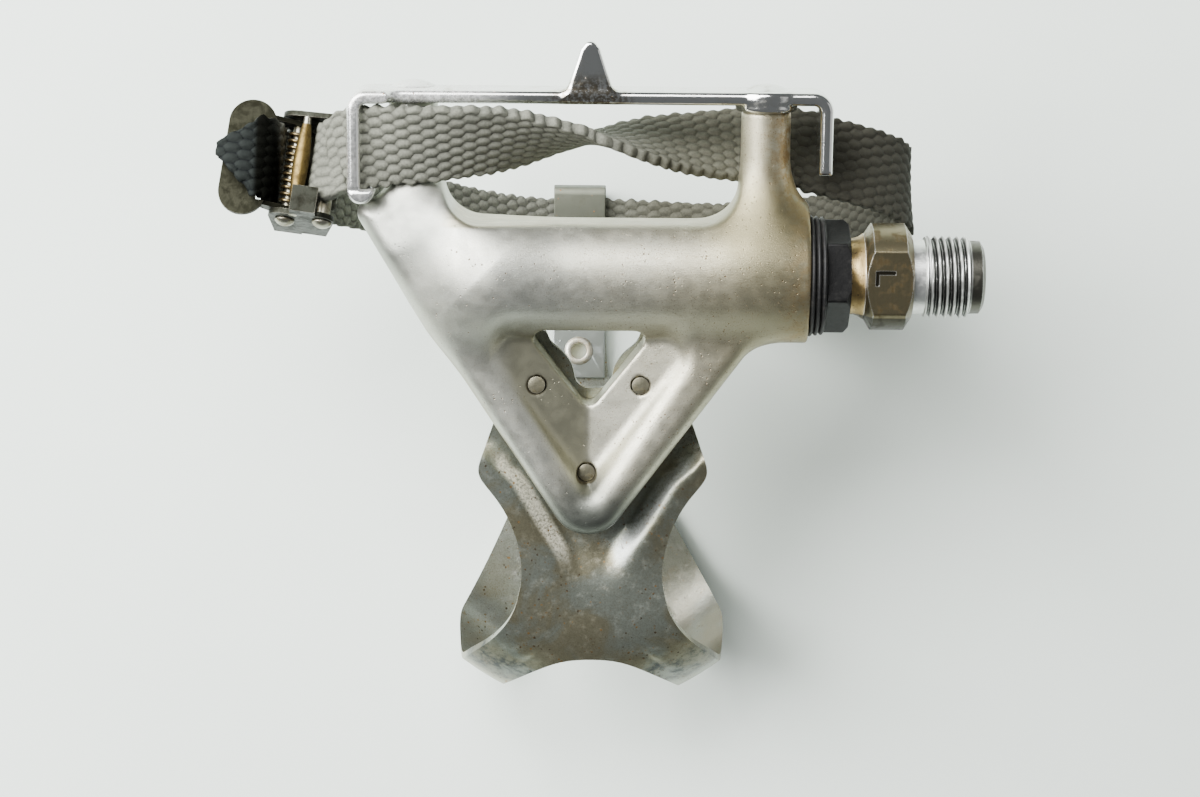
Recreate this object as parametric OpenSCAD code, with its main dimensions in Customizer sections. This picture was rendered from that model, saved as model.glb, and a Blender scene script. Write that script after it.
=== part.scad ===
// Left-hand bicycle pedal with a one-piece triangular body, a chromed cage plate,
// a sheet-metal toe clip and a woven strap with a cam buckle.
// Frame: the spindle axis is X and points to the crank, Y points to the rear of
// the pedal, Z points up through the underside of the body. The clip hangs below.
// The origin is the centre of the spindle's shoulder face, which meets the crank.

/* [Spindle] */
// Outer radius of the crank thread
thread_r = 7.14; // [6.2:0.01:7.2]
// Length of the threaded end, relief and pilot included
thread_len = 12.4; // [10:0.1:14]
// Radius of the round wrench collar
collar_r = 9.25; // [8.5:0.05:10]
// Distance across the two wrench flats
flats = 15; // [14:0.5:16]
// Length of the wrench collar
collar_len = 8.3; // [6:0.1:10]
// Radius of the bearing shaft
shaft_r = 3.75; // [3:0.05:4.5]

/* [Body] */
// X of the body's end face beside the crank
end_x = -17.9; // [-20:0.1:-16]
// Radius of the barrel that holds the bearings
barrel_r = 10.5; // [9.6:0.1:12]
// X of the centre line of the V
vee_x = -55.6; // [-60:0.1:-52]
// Y of the centre of the rounded tip
tip_y = -39.4; // [-44:0.1:-34]
// Radius of the rounded tip in plan
tip_r = 6.6; // [5.5:0.1:8]
// Z of the flat face that the toe clip bolts to
seat_z = -5; // [-6:0.1:-4]
// X of the left and right posts under the cage plate
post_x = [-86.2, -25.6]; // [-90:0.1:-20]
// Z of the left and right posts
post_z = [-2.8, 0]; // [-3:0.1:1]

/* [Cage plate] */
// Y of the plate's inner face
plate_y = 29.8; // [26:0.1:34]
// Thickness of the plate
plate_t = 2.3; // [1.5:0.1:3]
// Outer X of the left and right bent ends
plate_x = [-97, -14.3]; // [-100:0.1:-12]

/* [Toe clip] */
// X of the clip's centre line
clip_x = -54.8; // [-57:0.1:-53]
// Thickness of the clip's sheet
sheet_t = 1.2; // [0.8:0.1:1.6]
// Radius of the bend round the toe
toe_r = 21.2; // [18:0.1:26]
// Angle of the upper leg to the pedal
leg_slope = 13; // [5:0.5:18]
// Half the width of the tongue
tongue_w = 5; // [4:0.1:7]
// Depth of the V-shaped dish pressed into the lower plate
dish_depth = 2.5; // [1:0.1:3]

/* [Strap] */
// Width of the webbing
strap_w = 14; // [12:0.5:15]
// Thickness of the webbing
strap_t = 2; // [1.5:0.1:2.4]
// Distance from one woven ridge to the next
ridge = 2.4; // [2:0.1:4]

/* [Buckle] */
// Point of the lever's pivot, in the middle of the buckle
buckle_at = [-107.1, 17.6, -3]; // [-120:0.1:30]
// Lean of the buckle about X, with its near cheek tipped towards the top
buckle_lean = 25; // [0:1:35]
// Turn of the buckle about Z
buckle_turn = 7.6; // [0:0.1:12]
// Gap between the buckle's cheeks
buckle_gap = 16.8; // [15.5:0.1:18]

/* [Hidden] */
$fn = 64;
eps = 0.01;

aluminium = [0.74, 0.73, 0.71];
chrome = [0.66, 0.67, 0.67];
steel = [0.55, 0.55, 0.54];
olive = [0.45, 0.43, 0.33];
brass = [0.66, 0.54, 0.33];
resin = [0.06, 0.06, 0.06];
webbing = [0.38, 0.40, 0.38];

// Spindle unit
neck_x = -10.8;
land_x = -14.2;
land_r = 6.9;
race_x = [-30, -66];
ball_r = 1.19;
ball_ring_r = shaft_r + 0.04 + ball_r;
balls = 12;
cone_len = 5;
shaft_end = -76;
bore_r = 7.5;
sleeve_r = 7.45;
sleeve_in_r = ball_ring_r + ball_r + 0.04;
bore_end = -78.5;
seal_len = 2.9;
head_len = 4.1;

post_r = 4.25;

// Screws that hold the clip, from the underside they show as flush ends
clip_screws_at = [[-64.7, -19.2], [-46.6, -19.2], [-55.9, -35.2]];
clip_screw_r = 1.5;

// Side profile of the clip's sheet, as distance run along its middle surface
clip_rear_y = -11;
bend_y = -63.9;
sheet_z = seat_z - sheet_t / 2;
plateau_z = sheet_z + dish_depth;
lower_run = clip_rear_y - bend_y;
bend_turn = 180 - leg_slope;
bend_run = toe_r * bend_turn * PI / 180;
leg_run = 77;
bend_end = [bend_y - toe_r * sin(bend_turn), plateau_z - toe_r + toe_r * cos(bend_turn)];
toe_round = 0.0113;
rivet_run = 45.4;
loop_run = 44.6;
rivet_r = [2.86, 2.1, 1.5];

// Bar, roller and pins of the buckle, as X and Z from its pivot along its own axes
bar_at = [6.5, 1.6];
roller_at = [1.5, 3.2];
pin_r = 0.9;
bar_r = 1.2;
cheek_t = 0.9;

// Helpers

// Smaller of two values with the corner between them rounded over a span of r
function soft_min(a, b, r) = let (h = max(r - abs(a - b), 0) / r) min(a, b) - h * h * r / 4;

// Smooth step from 0 to 1 as t goes from 0 to 1
function ease(t) = let (c = min(1, max(0, t))) c * c * (3 - 2 * c);

// Cylinder that runs along X from x0 to x1
module along_x(x0, x1, r, r2 = undef) {
    translate([x0, 0, 0]) rotate([0, 90, 0])
        cylinder(h = x1 - x0, r1 = r, r2 = is_undef(r2) ? r : r2);
}

// Cylinder that runs along Y from y0 to y1 with its axis at x and z
module along_y(x, z, y0, y1, r) {
    translate([x, y0, z]) rotate([-90, 0, 0]) cylinder(h = y1 - y0, r = r);
}

// Ball of radius r at a point
module ball(p, r) {
    translate(p) sphere(r = r, $fn = 32);
}

// Closed sheet between two grids of points, without the cells for which keep() is false
module sheet(front, back, keep) {
    rows = len(front);
    cols = len(front[0]);
    shift = rows * cols;
    function id(i, j) = i * cols + j;
    function on(i, j) = i >= 0 && j >= 0 && i < rows - 1 && j < cols - 1 && keep(i, j);
    cells = [for (i = [0:rows - 2], j = [0:cols - 2]) if (on(i, j)) [i, j]];
    faces = [for (c = cells) let (i = c[0], j = c[1], a = id(i, j), b = id(i, j + 1),
                                  d = id(i + 1, j), e = id(i + 1, j + 1))
        each concat(
            [[a, b, e], [a, e, d], [shift + a, shift + e, shift + b], [shift + a, shift + d, shift + e]],
            on(i - 1, j) ? [] : [[a, shift + a, shift + b], [a, shift + b, b]],
            on(i + 1, j) ? [] : [[d, shift + e, shift + d], [d, e, shift + e]],
            on(i, j - 1) ? [] : [[a, shift + d, shift + a], [a, d, shift + d]],
            on(i, j + 1) ? [] : [[b, shift + b, shift + e], [b, shift + e, e]])];
    polyhedron(points = concat([for (r = front) each r], [for (r = back) each r]), faces = faces);
}

// Spindle with its crank thread, wrench collar, seal land and bearing shaft
module spindle() {
    flat_h = flats / 2;
    chamfer = 1.3;
    color(steel) difference() {
        union() {
            along_x(0, 2.1, 6.45);
            along_x(2.1, thread_len - 2.8, thread_r);
            along_x(thread_len - 2.8, thread_len, 6.35, 5.4);
            intersection() {
                union() {
                    along_x(-collar_len, chamfer - collar_len, collar_r - 2, collar_r);
                    along_x(chamfer - collar_len, -chamfer, collar_r);
                    along_x(-chamfer, 0, collar_r, collar_r - 2);
                }
                translate([-collar_len, -collar_r, -flat_h]) cube([collar_len, 2 * collar_r, flats]);
            }
            along_x(neck_x, -collar_len, 6.6, collar_r - 1.8);
            along_x(land_x, neck_x, land_r);
            along_x(race_x[1], land_x, shaft_r);
            along_x(shaft_end, race_x[1], 3);
        }
        along_x(thread_len - 1.5, thread_len + 1, 3.6);
    }
}

// Cone that the inner balls run against, on the end of the shaft
module inner_cone() {
    color(steel) difference() {
        along_x(race_x[1] - 3.6, race_x[1] - 1.35, 5.4);
        along_x(race_x[1] - 4, race_x[1], 3.02);
    }
}

// Locknut that holds the cone
module cone_locknut() {
    color(steel) difference() {
        translate([race_x[1] - 7.2, 0, 0]) rotate([0, 90, 0]) cylinder(h = 3.4, r = 5.4, $fn = 6);
        along_x(race_x[1] - 8, race_x[1], 3.02);
    }
}

// Ring of bearing balls round the shaft at x
module ball_ring(x) {
    color(chrome) for (k = [0:balls - 1])
        rotate([k * 360 / balls, 0, 0]) translate([x, 0, ball_ring_r]) sphere(r = ball_r, $fn = 16);
}

module outer_balls() {
    ball_ring(race_x[0]);
}

module inner_balls() {
    ball_ring(race_x[1]);
}

// Outline of the gap between the two posts, with rounded lower corners
module gap_outline() {
    left = -80.6;
    right = -30.2;
    floor_y = 9.3;
    corner = 6.5;
    translate([left, floor_y + corner]) square([right - left, 20]);
    translate([left + corner, floor_y]) square([right - left - 2 * corner, corner + eps]);
    for (x = [left + corner, right - corner]) translate([x, floor_y + corner]) circle(r = corner);
}

// Rounded triangle with its point at the bottom
module round_triangle(top_y, half_w, low_y, r, r_low) {
    hull() {
        for (s = [-1, 1]) translate([vee_x + s * (half_w - r), top_y - r]) circle(r = r, $fn = 32);
        translate([vee_x, low_y + r_low]) circle(r = r_low, $fn = 32);
    }
}

// Bulk of the casting before the hollows are cut
module casting() {
    along_x(-74, end_x, barrel_r);
    // Triangular pillow of the V
    hull() {
        ball([-83.7, 3, 0], 5.5);
        ball([-32.4, -9.8, 0], 5.5);
        ball([vee_x, tip_y, -1], tip_r);
    }
    // Left web, from the barrel down to the pointed corner
    hull() {
        ball([-92.6, 11.4, -0.6], 2.6);
        ball([-83.7, 3, 0], 5.5);
        ball([-73, 0, 0], barrel_r - 0.6);
        ball([-85, 10.6, -1.2], 3.4);
    }
    // Left arm
    along_y(post_x[0], post_z[0], 10, plate_y, post_r);
    hull() {
        along_y(post_x[0], post_z[0], 8, 14.4, post_r);
        ball([-73, 0, 0], barrel_r - 1.5);
    }
    // Right post and its flare into the barrel
    along_y(post_x[1], post_z[1], 0, plate_y, post_r);
    hull() {
        along_y(post_x[1], post_z[1], 12, 15, post_r);
        along_x(-40, end_x, 8);
    }
    // Fillet between the barrel and the right edge of the V
    translate([0, 0, seat_z]) linear_extrude(9) difference() {
        polygon([[-40, -4], [-22.3, -4], [-22.3, -10.5], [-28, -13.5], [-36, -25]]);
        translate([-22.3, -17.5]) circle(r = 7);
    }
}

// One-piece cast body with the bearing bore, posts, dish and window
module pedal_body() {
    color(aluminium) difference() {
        casting();
        // Flat seat for the clip, and flat rear face of the barrel
        translate([-100, -60, seat_z - 20]) cube([90, 51.5, 20]);
        translate([0, 0, -20]) linear_extrude(40) gap_outline();
        translate([end_x, -20, -20]) cube([20, 40, 40]);
        // Round notch beside the left arm
        translate([-95.9, 18.9, -20]) cylinder(h = 40, r = 6.5);
        // Bearing bore, open beside the crank
        along_x(bore_end, end_x + 1, bore_r);
        // Dish with two facets that fall to the centre line
        intersection() {
            translate([0, 0, -1]) linear_extrude(20) round_triangle(-7.8, 16.6, -40.6, 3, 1.6);
            translate([0, 0, 0]) rotate([90, 0, 0]) translate([0, 0, 0]) linear_extrude(60)
                polygon([[vee_x, 0.9], [vee_x + 24, 6], [vee_x + 24, 20], [vee_x - 24, 20], [vee_x - 24, 6]]);
        }
        // Window through the V
        translate([0, 0, -20]) linear_extrude(40) round_triangle(-8.8, 9.6, -23.1, 2, 1.9);
        // Threaded holes for the clip's screws
        for (p = clip_screws_at) translate([p[0], p[1], -20]) cylinder(h = 40, r = clip_screw_r + 0.02);
        // Holes for the cage plate's screws
        for (k = [0, 1]) along_y(post_x[k], post_z[k], plate_y - 9, plate_y + 1, 2.02);
    }
}

// Steel sleeve that carries both outer races
module bearing_sleeve() {
    color(steel) difference() {
        along_x(race_x[1] - 9, race_x[0] + 3, sleeve_r);
        along_x(race_x[1] - 9.5, race_x[0] + 4, sleeve_in_r);
    }
}

// Black resin lock bolt with a hexagonal head
module lock_bolt() {
    head_x = end_x + seal_len;
    color(resin) difference() {
        union() {
            intersection() {
                translate([head_x, 0, 0]) rotate([17, 0, 0]) rotate([0, 90, 0])
                    cylinder(h = head_len, r = 9.9, $fn = 6);
                union() {
                    along_x(head_x, head_x + head_len - 0.8, 9.8);
                    along_x(head_x + head_len - 0.8, head_x + head_len, 9.8, 9);
                }
            }
            along_x(race_x[0] + 3.1, head_x, bore_r - 0.02);
        }
        along_x(land_x - 0.4, 0, land_r + 0.35);
        along_x(-40, 0, 5.4);
    }
}

// Black ring with raised lips, clamped between the bolt's head and the body
module dust_seal() {
    color(resin) difference() {
        union() {
            along_x(end_x, end_x + 1, 10.65);
            along_x(end_x + 1, end_x + 1.5, 10.1);
            along_x(end_x + 1.5, end_x + 2.3, 10.5);
            along_x(end_x + 2.3, end_x + seal_len, 9.9);
        }
        along_x(end_x - 1, end_x + 4, bore_r);
    }
}

// Plan outline of the cage plate's band, bent forward at both ends
module plate_plan() {
    bend = 3.4;
    foot_y = 15;
    w = plate_x[1] - plate_x[0];
    module round_end(x, y, r) {
        translate([x, y]) circle(r = r);
    }
    difference() {
        union() {
            translate([plate_x[0], foot_y]) square([w, plate_y + plate_t - bend - foot_y]);
            translate([plate_x[0] + bend, plate_y]) square([w - 2 * bend, plate_t]);
            for (x = [plate_x[0] + bend, plate_x[1] - bend]) round_end(x, plate_y + plate_t - bend, bend);
        }
        translate([plate_x[0] + plate_t, 10])
            square([w - 2 * plate_t, plate_y - (bend - plate_t) - 10]);
        translate([plate_x[0] + bend, 10]) square([w - 2 * bend, plate_y - 10]);
        for (x = [plate_x[0] + bend, plate_x[1] - bend])
            round_end(x, plate_y + plate_t - bend, bend - plate_t);
        // The right end stops short
        translate([plate_x[1] - plate_t - 1, 10]) square([plate_t + 2, 8]);
    }
    // Curled foot of the left end
    translate([plate_x[0] + plate_t, foot_y]) difference() {
        circle(r = plate_t);
        circle(r = 0.2, $fn = 16);
        translate([-3, 0]) square([6, 3]);
    }
}

// Chromed cage plate with strap guides, screw lobes and the pick-up tab
module cage_plate() {
    color(chrome) {
        difference() {
            union() {
                intersection() {
                    translate([0, 0, -8]) linear_extrude(16) plate_plan();
                    rotate([90, 0, 0]) translate([0, 0, -50]) linear_extrude(60) union() {
                        translate([-99, -5.4]) square([90, 10.2]);
                        for (k = [0, 1]) translate([post_x[k], post_z[k] + 0.4]) circle(r = 5.3);
                        translate([-99, -5.4]) square([9, 12.2]);
                    }
                }
                // Pick-up tab, bent back from the near edge
                translate([0, 0, 2.4]) linear_extrude(2.4) union() {
                    polygon([[-60.2, plate_y + 1], [-57.1, 39.2], [-54.5, 39.2], [-51.4, plate_y + 1]]);
                    translate([-55.8, 39.2]) circle(r = 1.35);
                }
            }
            // Slots that the strap passes through
            for (k = [0, 1]) translate([plate_x[k] - (k == 0 ? 1 : plate_t + 1), 14.4, k == 0 ? 0.1 : -10])
                cube([plate_t + 2, 15.2, k == 0 ? 5.5 : 6]);
            for (k = [0, 1]) along_y(post_x[k], post_z[k], plate_y - 1, plate_y + plate_t + 1, 2.1);
        }
    }
}

// Two low domed screws through the plate into the posts
module cage_screws() {
    color(chrome) for (k = [0, 1]) {
        along_y(post_x[k], post_z[k], plate_y - 8, plate_y + plate_t, 2);
        intersection() {
            along_y(post_x[k], post_z[k], plate_y + plate_t, plate_y + plate_t + 1.2, 3.8);
            translate([post_x[k], plate_y + plate_t - 6.2, post_z[k]]) sphere(r = 7.3);
        }
    }
}

// Point of the clip's middle surface and its outward direction, for a distance run
function clip_at(run) =
    run < lower_run ? [clip_rear_y - run, plateau_z, 0, 1]
    : run < lower_run + bend_run ?
        let (a = (run - lower_run) / toe_r * 180 / PI)
        [bend_y - toe_r * sin(a), plateau_z - toe_r + toe_r * cos(a), -sin(a), cos(a)]
    : let (t = run - lower_run - bend_run)
        [bend_end[0] + t * cos(leg_slope), bend_end[1] - t * sin(leg_slope),
            -sin(leg_slope), -cos(leg_slope)];

// Half width of the sheet for a distance run
function clip_half(run) =
    run < 50 ? let (y = clip_rear_y - run, d = min(23.7, abs(y + 55)))
        soft_min(36.3 - sqrt(23.8 * 23.8 - d * d) + (y > -36.2 ? 30 : 0), 20.2 - 0.36 * (y + 34.9), 3)
    : lookup(run, [[50, 12.98], [52.9, 13.7], [56.6, 15], [60.3, 16.8], [63.5, 18.8], [66.9, 21.3],
        [72, 22.6], [78, 23.7], [86, 24.4], [94, 25], [98, 25], [103, 23.6], [110, 21.2],
        [124, 15.8], [150, 6.2], [156, 5.1], [162, tongue_w], [200, tongue_w]]);

// Half width of the dish's floor line in the lower plate
function dish_half(y) = lookup(y, [
    [-60, 3.5], [-57, 4], [-51, 5.2], [-45.5, 8.6], [-38, 13], [-33, 18], [-28, 24]]);

// Half width of the notch between the prongs
function notch_half(y) = lookup(y, [
    [-21.2, 1.6], [-20.4, 2.9], [-19, 3.4], [-17, 3.6], [-15, 5.2], [-13, 7.6], [-11, 8.4]]);

// Depth of the dish at a point of the lower plate
function dish(x, y) = dish_depth * ease((y + 59) / 13) * ease((dish_half(y) - abs(x)) / 2.8 + 0.5);

// Rows of the clip's grid: run at the middle, run at the edges, and whether the middle is open
clip_rows = concat(
    [for (y = [-11, -12, -13, -14, -15, -16, -17.5, -19, -20.4]) [-11 - y, -11 - y, true]],
    [for (y = [-21.2, -24, -27, -29.5, -31.5, -33.5, -35.2, -36.6, -38, -40, -42, -44, -46,
        -48, -50, -52.5, -55, -57.5, -60.5, -63.9]) [-11 - y, -11 - y, false]],
    [[54.6, 56, false], [57, 60, false], [59.4, 64, false]],
    [[61.6, 68.2, true]],
    [for (r = [72:4:100]) [r, r, true]],
    [[116.7, 104.7, false], [118, 108, false], [120, 112, false], [123, 117, false], [127, 123, false]],
    [for (r = [131:6:161]) [r, r, false]],
    [for (r = [167:8:191.7]) [r, r, false]]);

// Inner and outer column lines of the clip's grid
function column_in(run, open) =
    let (y = clip_rear_y - run, h = clip_half(run))
    run < 10.3 ? notch_half(y)
    : run < 50 ? min(max(1.6, dish_half(y) - 1.4), 1.6 + (run - 10.2) * 0.75, h * 0.7)
    : open || run < 69 ? lookup(run, [[50, 2.6], [68.2, 15.8]])
    : lookup(run, [[104.7, 15], [118, 8], [131, 4], [200, 3]]);
function column_out(run, open) = let (h = clip_half(run), i = column_in(run, open))
    run > 12 && run < 48 ? max(i + 0.4, min(dish_half(clip_rear_y - run) + 1.4, h - 0.6)) : i + (h - i) * 0.6;
function window_in(run) = lookup(run, [[68.2, 15.8], [86, 16.6], [104.7, 15]]);

// X of every column of one row, measured from the centre line
function clip_columns(row) =
    let (run = row[1], h = clip_half(run),
         i = run >= 68.2 && run <= 104.7 ? window_in(run) : column_in(run, row[2]),
         o = run >= 68.2 && run <= 104.7 ? i + (h - i) * 0.5 : column_out(run, row[2]))
    concat([-h, -(h + o) / 2], [for (k = [0:2]) -o + (o - i) * k / 3],
        [for (k = [-3:3]) i * k / 3],
        [for (k = [1:3]) i + (o - i) * k / 3], [(h + o) / 2, h]);

// One point of the clip, at an offset from its middle surface
function clip_point(row, x, off) =
    let (i = clip_columns(row)[11],
         share = min(1, (x / i) * (x / i)),
         run = row[0] + (row[1] - row[0]) * share,
         p = clip_at(run),
         round_w = ease((run - 40) / 18) * ease((150 - run) / 30),
         drift = -3 * ease((run - 104) / 70))
    [clip_x + x + drift, p[0] + off * p[2] + toe_round * x * x * round_w,
     p[1] + off * p[3] - (run < lower_run ? dish(x, p[0]) : 0)];

// Chromed sheet toe clip: prongs, dish, ears, two arms round the toe, and the tongue
module toe_clip() {
    front = [for (r = clip_rows) [for (x = clip_columns(r)) clip_point(r, x, sheet_t / 2)]];
    back = [for (r = clip_rows) [for (x = clip_columns(r)) clip_point(r, x, -sheet_t / 2)]];
    color(chrome) difference() {
        sheet(front, back, function (i, j) !(clip_rows[i][2] && j >= 5 && j <= 10));
        for (p = clip_screws_at) translate([p[0], p[1], -20]) cylinder(h = 30, r = clip_screw_r + 0.2);
        at_leg(rivet_run) translate([0, 0, -3]) cylinder(h = 6, r = rivet_r[1] + 0.05);
    }
}

// Places children on the upper leg's middle surface, with Z pointing at the foot
module at_leg(t) {
    p = clip_at(lower_run + bend_run + t);
    translate([clip_x - 2.9, p[0], p[1]]) rotate([-leg_slope, 0, 0]) children();
}

// Backing plate between the clip's sheet and the heads of its screws
module clip_backing_plate() {
    z = seat_z - sheet_t;
    color(brass) translate([0, 0, z - 1.6]) linear_extrude(1.6) difference() {
        hull() for (p = clip_screws_at) translate(p) circle(r = 3.6, $fn = 32);
        translate([clip_x, -13.6]) circle(r = 6.2);
        translate([clip_x - 4, -20.4]) square([8, 8]);
        translate([clip_x, -20.4]) circle(r = 4);
        for (p = clip_screws_at) translate(p) circle(r = clip_screw_r + 0.2);
    }
}

// Three screws whose ends show flush in the body's dish
module clip_screws() {
    z = seat_z - sheet_t - 1.6;
    tops = [2.6, 2.6, 0.9];
    color(steel) for (k = [0:2]) translate([clip_screws_at[k][0], clip_screws_at[k][1], 0]) {
        translate([0, 0, z]) cylinder(h = tops[k] - z, r = clip_screw_r);
        translate([0, 0, z - 1.7]) cylinder(h = 1.7, r1 = 2.2, r2 = 2.8);
    }
}

// Outline of a bent strip of thickness t along a path of points
function strip(path, t) =
    let (n = len(path),
         dir = [for (i = [0:n - 1]) let (d = path[min(n - 1, i + 1)] - path[max(0, i - 1)]) d / norm(d)],
         side = [for (i = [0:n - 1]) [-dir[i][1], dir[i][0]]])
    concat([for (i = [0:n - 1]) path[i] + side[i] * t / 2],
        [for (i = [n - 1:-1:0]) path[i] - side[i] * t / 2]);

// Riveted strip that bridges the strap on the clip's tongue
module strap_loop() {
    lift = 3.9;
    path = [[-4.5, 0], [12, 0], [13.2, 0.4], [14.2, 1.4], [15, lift - 1.2], [16, lift - 0.2], [17.4, lift],
        [30.6, lift], [31.8, lift - 0.4], [32.3, lift - 1.6], [32.3, 0.4]];
    color(chrome) difference() {
        at_leg(loop_run) translate([-tongue_w, 0, sheet_t / 2 + 0.5])
            rotate([90, 0, 90]) linear_extrude(2 * tongue_w) polygon(strip(path, 1));
        at_leg(rivet_run) translate([0, 0, -3]) cylinder(h = 8, r = rivet_r[1] + 0.05);
    }
}

// Hollow rivet through the tongue and the loop's strip
module loop_rivet() {
    low = -sheet_t / 2;
    high = sheet_t / 2 + 1;
    color(steel) at_leg(rivet_run) difference() {
        union() {
            translate([0, 0, low]) cylinder(h = high - low, r = rivet_r[1]);
            translate([0, 0, high]) cylinder(h = 0.6, r1 = rivet_r[0], r2 = rivet_r[0] - 0.5);
            translate([0, 0, low - 0.5]) cylinder(h = 0.5, r1 = rivet_r[0] - 0.4, r2 = rivet_r[0]);
        }
        translate([0, 0, -3]) cylinder(h = 8, r = rivet_r[2]);
    }
}

// Turn of a direction or a point of the buckle into the pedal's axes
function lean(p) = let (y = p[1] * cos(buckle_lean) + p[2] * sin(buckle_lean),
                        z = p[2] * cos(buckle_lean) - p[1] * sin(buckle_lean))
    [p[0] * cos(buckle_turn) + y * sin(buckle_turn), y * cos(buckle_turn) - p[0] * sin(buckle_turn), z];

// Places children in the buckle's own axes, with its pivot at the origin
module in_buckle() {
    translate(buckle_at) rotate([-buckle_lean, 0, -buckle_turn]) children();
}

// Route of the strap, from the end sewn round the bar to the free end over the lever.
// Each point gives X, Y, Z, the turn of the webbing about its own run, and how far the
// webbing follows the buckle's lean. The first and last stretches are in the buckle's axes.
strap_start = [
    [8.1, 0.9, -0.8, -180], [7.4, 0.9, -0.85, -180], [6.5, 0.9, -0.85, -180],
    [4.8, 0.9, -0.15, -180], [4.05, 0.9, 1.6, -180], [4.8, 0.9, 3.35, -180], [6.5, 1, 4.2, -180]];
strap_middle = [
    [-98.3, 20.8, 1.4, -178, 0.7], [-96, 21.7, 2.6, -175, 0.4],
    [-92, 22.4, 4, -168, 0.1], [-87, 22.7, 5, -161, 0], [-82, 23, 5.2, -157, 0],
    [-77, 23.3, 4.6, -151, 0], [-72, 23.4, 3.4, -145, 0], [-66.7, 23.4, 1.9, -132, 0],
    [-61.3, 23.4, 0.4, -116, 0], [-57, 23.3, -0.9, -104, 0], [-53.7, 23.1, -1.7, -91, 0],
    [-48.3, 22.7, -3.4, -74, 0], [-42.8, 22.3, -5.2, -60, 0], [-37, 21.9, -6.6, -50, 0],
    [-30.3, 21.7, -7.8, -38, 0], [-24, 21.5, -8.4, -29, 0], [-19.5, 21.1, -8.5, -24, 0],
    [-15.2, 19.9, -8.5, -20, 0], [-11.4, 18.9, -8.8, -17, 0], [-6.6, 17.5, -10, -14, 0], [-2.4, 15.7, -12.6, -10, 0], [0.2, 13.6, -16, -6, 0],
    [0.8, 11.2, -20.4, -2, 0], [-1.2, 8, -26, 3, 0], [-6.2, 4.4, -33, 8, 0], [-14, 1, -41.6, 12, 0],
    [-24, -1.4, -49.6, 13, 0], [-34, -2.3, -54.6, 13, 0], [-44, -2.3, -57.6, 13, 0], [-50, -2.2, -58.3, 13, 0],
    [-57, -2.2, -58.5, 13, 0], [-64, -2.1, -58.2, 13, 0], [-71, -1.2, -55.6, 13, 0], [-79, 1, -50.4, 12, 0],
    [-86, 4.2, -42.4, 10, 0], [-91.6, 7.8, -33, 7, 0], [-95.6, 10.8, -23.4, 4, 0.2],
    [-98.8, 12.8, -15.6, 2, 0.5], [-101.6, 13.9, -11, 0, 0.8]];
strap_end = [
    [3.3, 0, -6.1, 0], [0.3, 0, -5.6, 0], [-1.8, 0, -4, 0], [-2.7, 0, -1.4, 0], [-3.1, -0.1, 1.2, 0],
    [-4, -0.1, 3.6, 0], [-5.7, -0.2, 5.2, 0], [-8.1, -0.3, 6, 0], [-10.5, -0.3, 6.1, 0], [-12.7, -0.4, 5.7, 0]];
strap_route = concat(
    [for (p = strap_start) let (q = buckle_at + lean(p)) [q[0], q[1], q[2], p[3], 1]],
    strap_middle,
    [for (p = strap_end) let (q = buckle_at + lean(p)) [q[0], q[1], q[2], p[3], 1]]);

// Point of a smooth curve through four route points
function curve(a, b, c, d, t) =
    0.5 * (2 * b + (c - a) * t + (2 * a - 5 * b + 4 * c - d) * t * t + (3 * b - a - 3 * c + d) * t * t * t);

function route_at(i) = strap_route[max(0, min(len(strap_route) - 1, i))];

// Stations along the route, about half a ridge apart
strap_stations = [for (i = [0:len(strap_route) - 2])
    let (b = route_at(i), c = route_at(i + 1), n = max(1, round(norm([for (k = [0:2]) c[k] - b[k]]) / ridge * 2)))
    for (k = [0:n - 1]) curve(route_at(i - 1), b, c, route_at(i + 2), k / n)];

// Half width of the webbing at a station: the free end is cut to a point
function strap_half(k) =
    let (left = len(strap_stations) - 1 - k) strap_w / 2 * min(1, (left * ridge / 2 + 1.2) / 8);

// Webbing section: width direction is near Y, thickness direction is square to the run
function strap_ring(k) =
    let (n = len(strap_stations), a = strap_stations[max(0, k - 1)], b = strap_stations[min(n - 1, k + 1)],
         p = strap_stations[k], run = [b[0] - a[0], b[1] - a[1], b[2] - a[2]], dir = run / norm(run),
         side = lean([0, 1, 0]) * p[4] + [0, 1, 0] * (1 - p[4]),
         flat_y = side - dir * (dir * side), wide = flat_y / norm(flat_y), thick = cross(dir, wide),
         turn = p[3], w = cos(turn) * wide + sin(turn) * thick, t = cos(turn) * thick - sin(turn) * wide,
         h = strap_half(k), rise = k % 2 == 0 ? 1 : 0.8, c = [p[0], p[1], p[2]], hw = h * (k % 2 == 0 ? 1 : 0.965))
    [for (e = [[1, 0], [0.86, 0.8], [0.4, 1], [-0.4, 1], [-0.86, 0.8], [-1, 0],
            [-0.86, -0.8], [-0.4, -1], [0.4, -1], [0.86, -0.8]])
        c + w * hw * e[0] + t * strap_t / 2 * rise * e[1]];

// Woven strap: one length of webbing from the buckle, through the cage plate's
// guides with a half twist, round through the clip's loop and back to the buckle
module toe_strap() {
    rings = [for (k = [0:len(strap_stations) - 1]) strap_ring(k)];
    n = len(rings);
    m = len(rings[0]);
    color(webbing) polyhedron(
        points = [for (r = rings) each r],
        faces = concat(
            [for (i = [0:n - 2], j = [0:m - 1]) [i * m + j, (i + 1) * m + (j + 1) % m, i * m + (j + 1) % m]],
            [for (i = [0:n - 2], j = [0:m - 1]) [i * m + j, (i + 1) * m + j, (i + 1) * m + (j + 1) % m]],
            [[for (j = [0:m - 1]) j]],
            [[for (j = [m - 1:-1:0]) (n - 1) * m + j]]));
}

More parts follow.
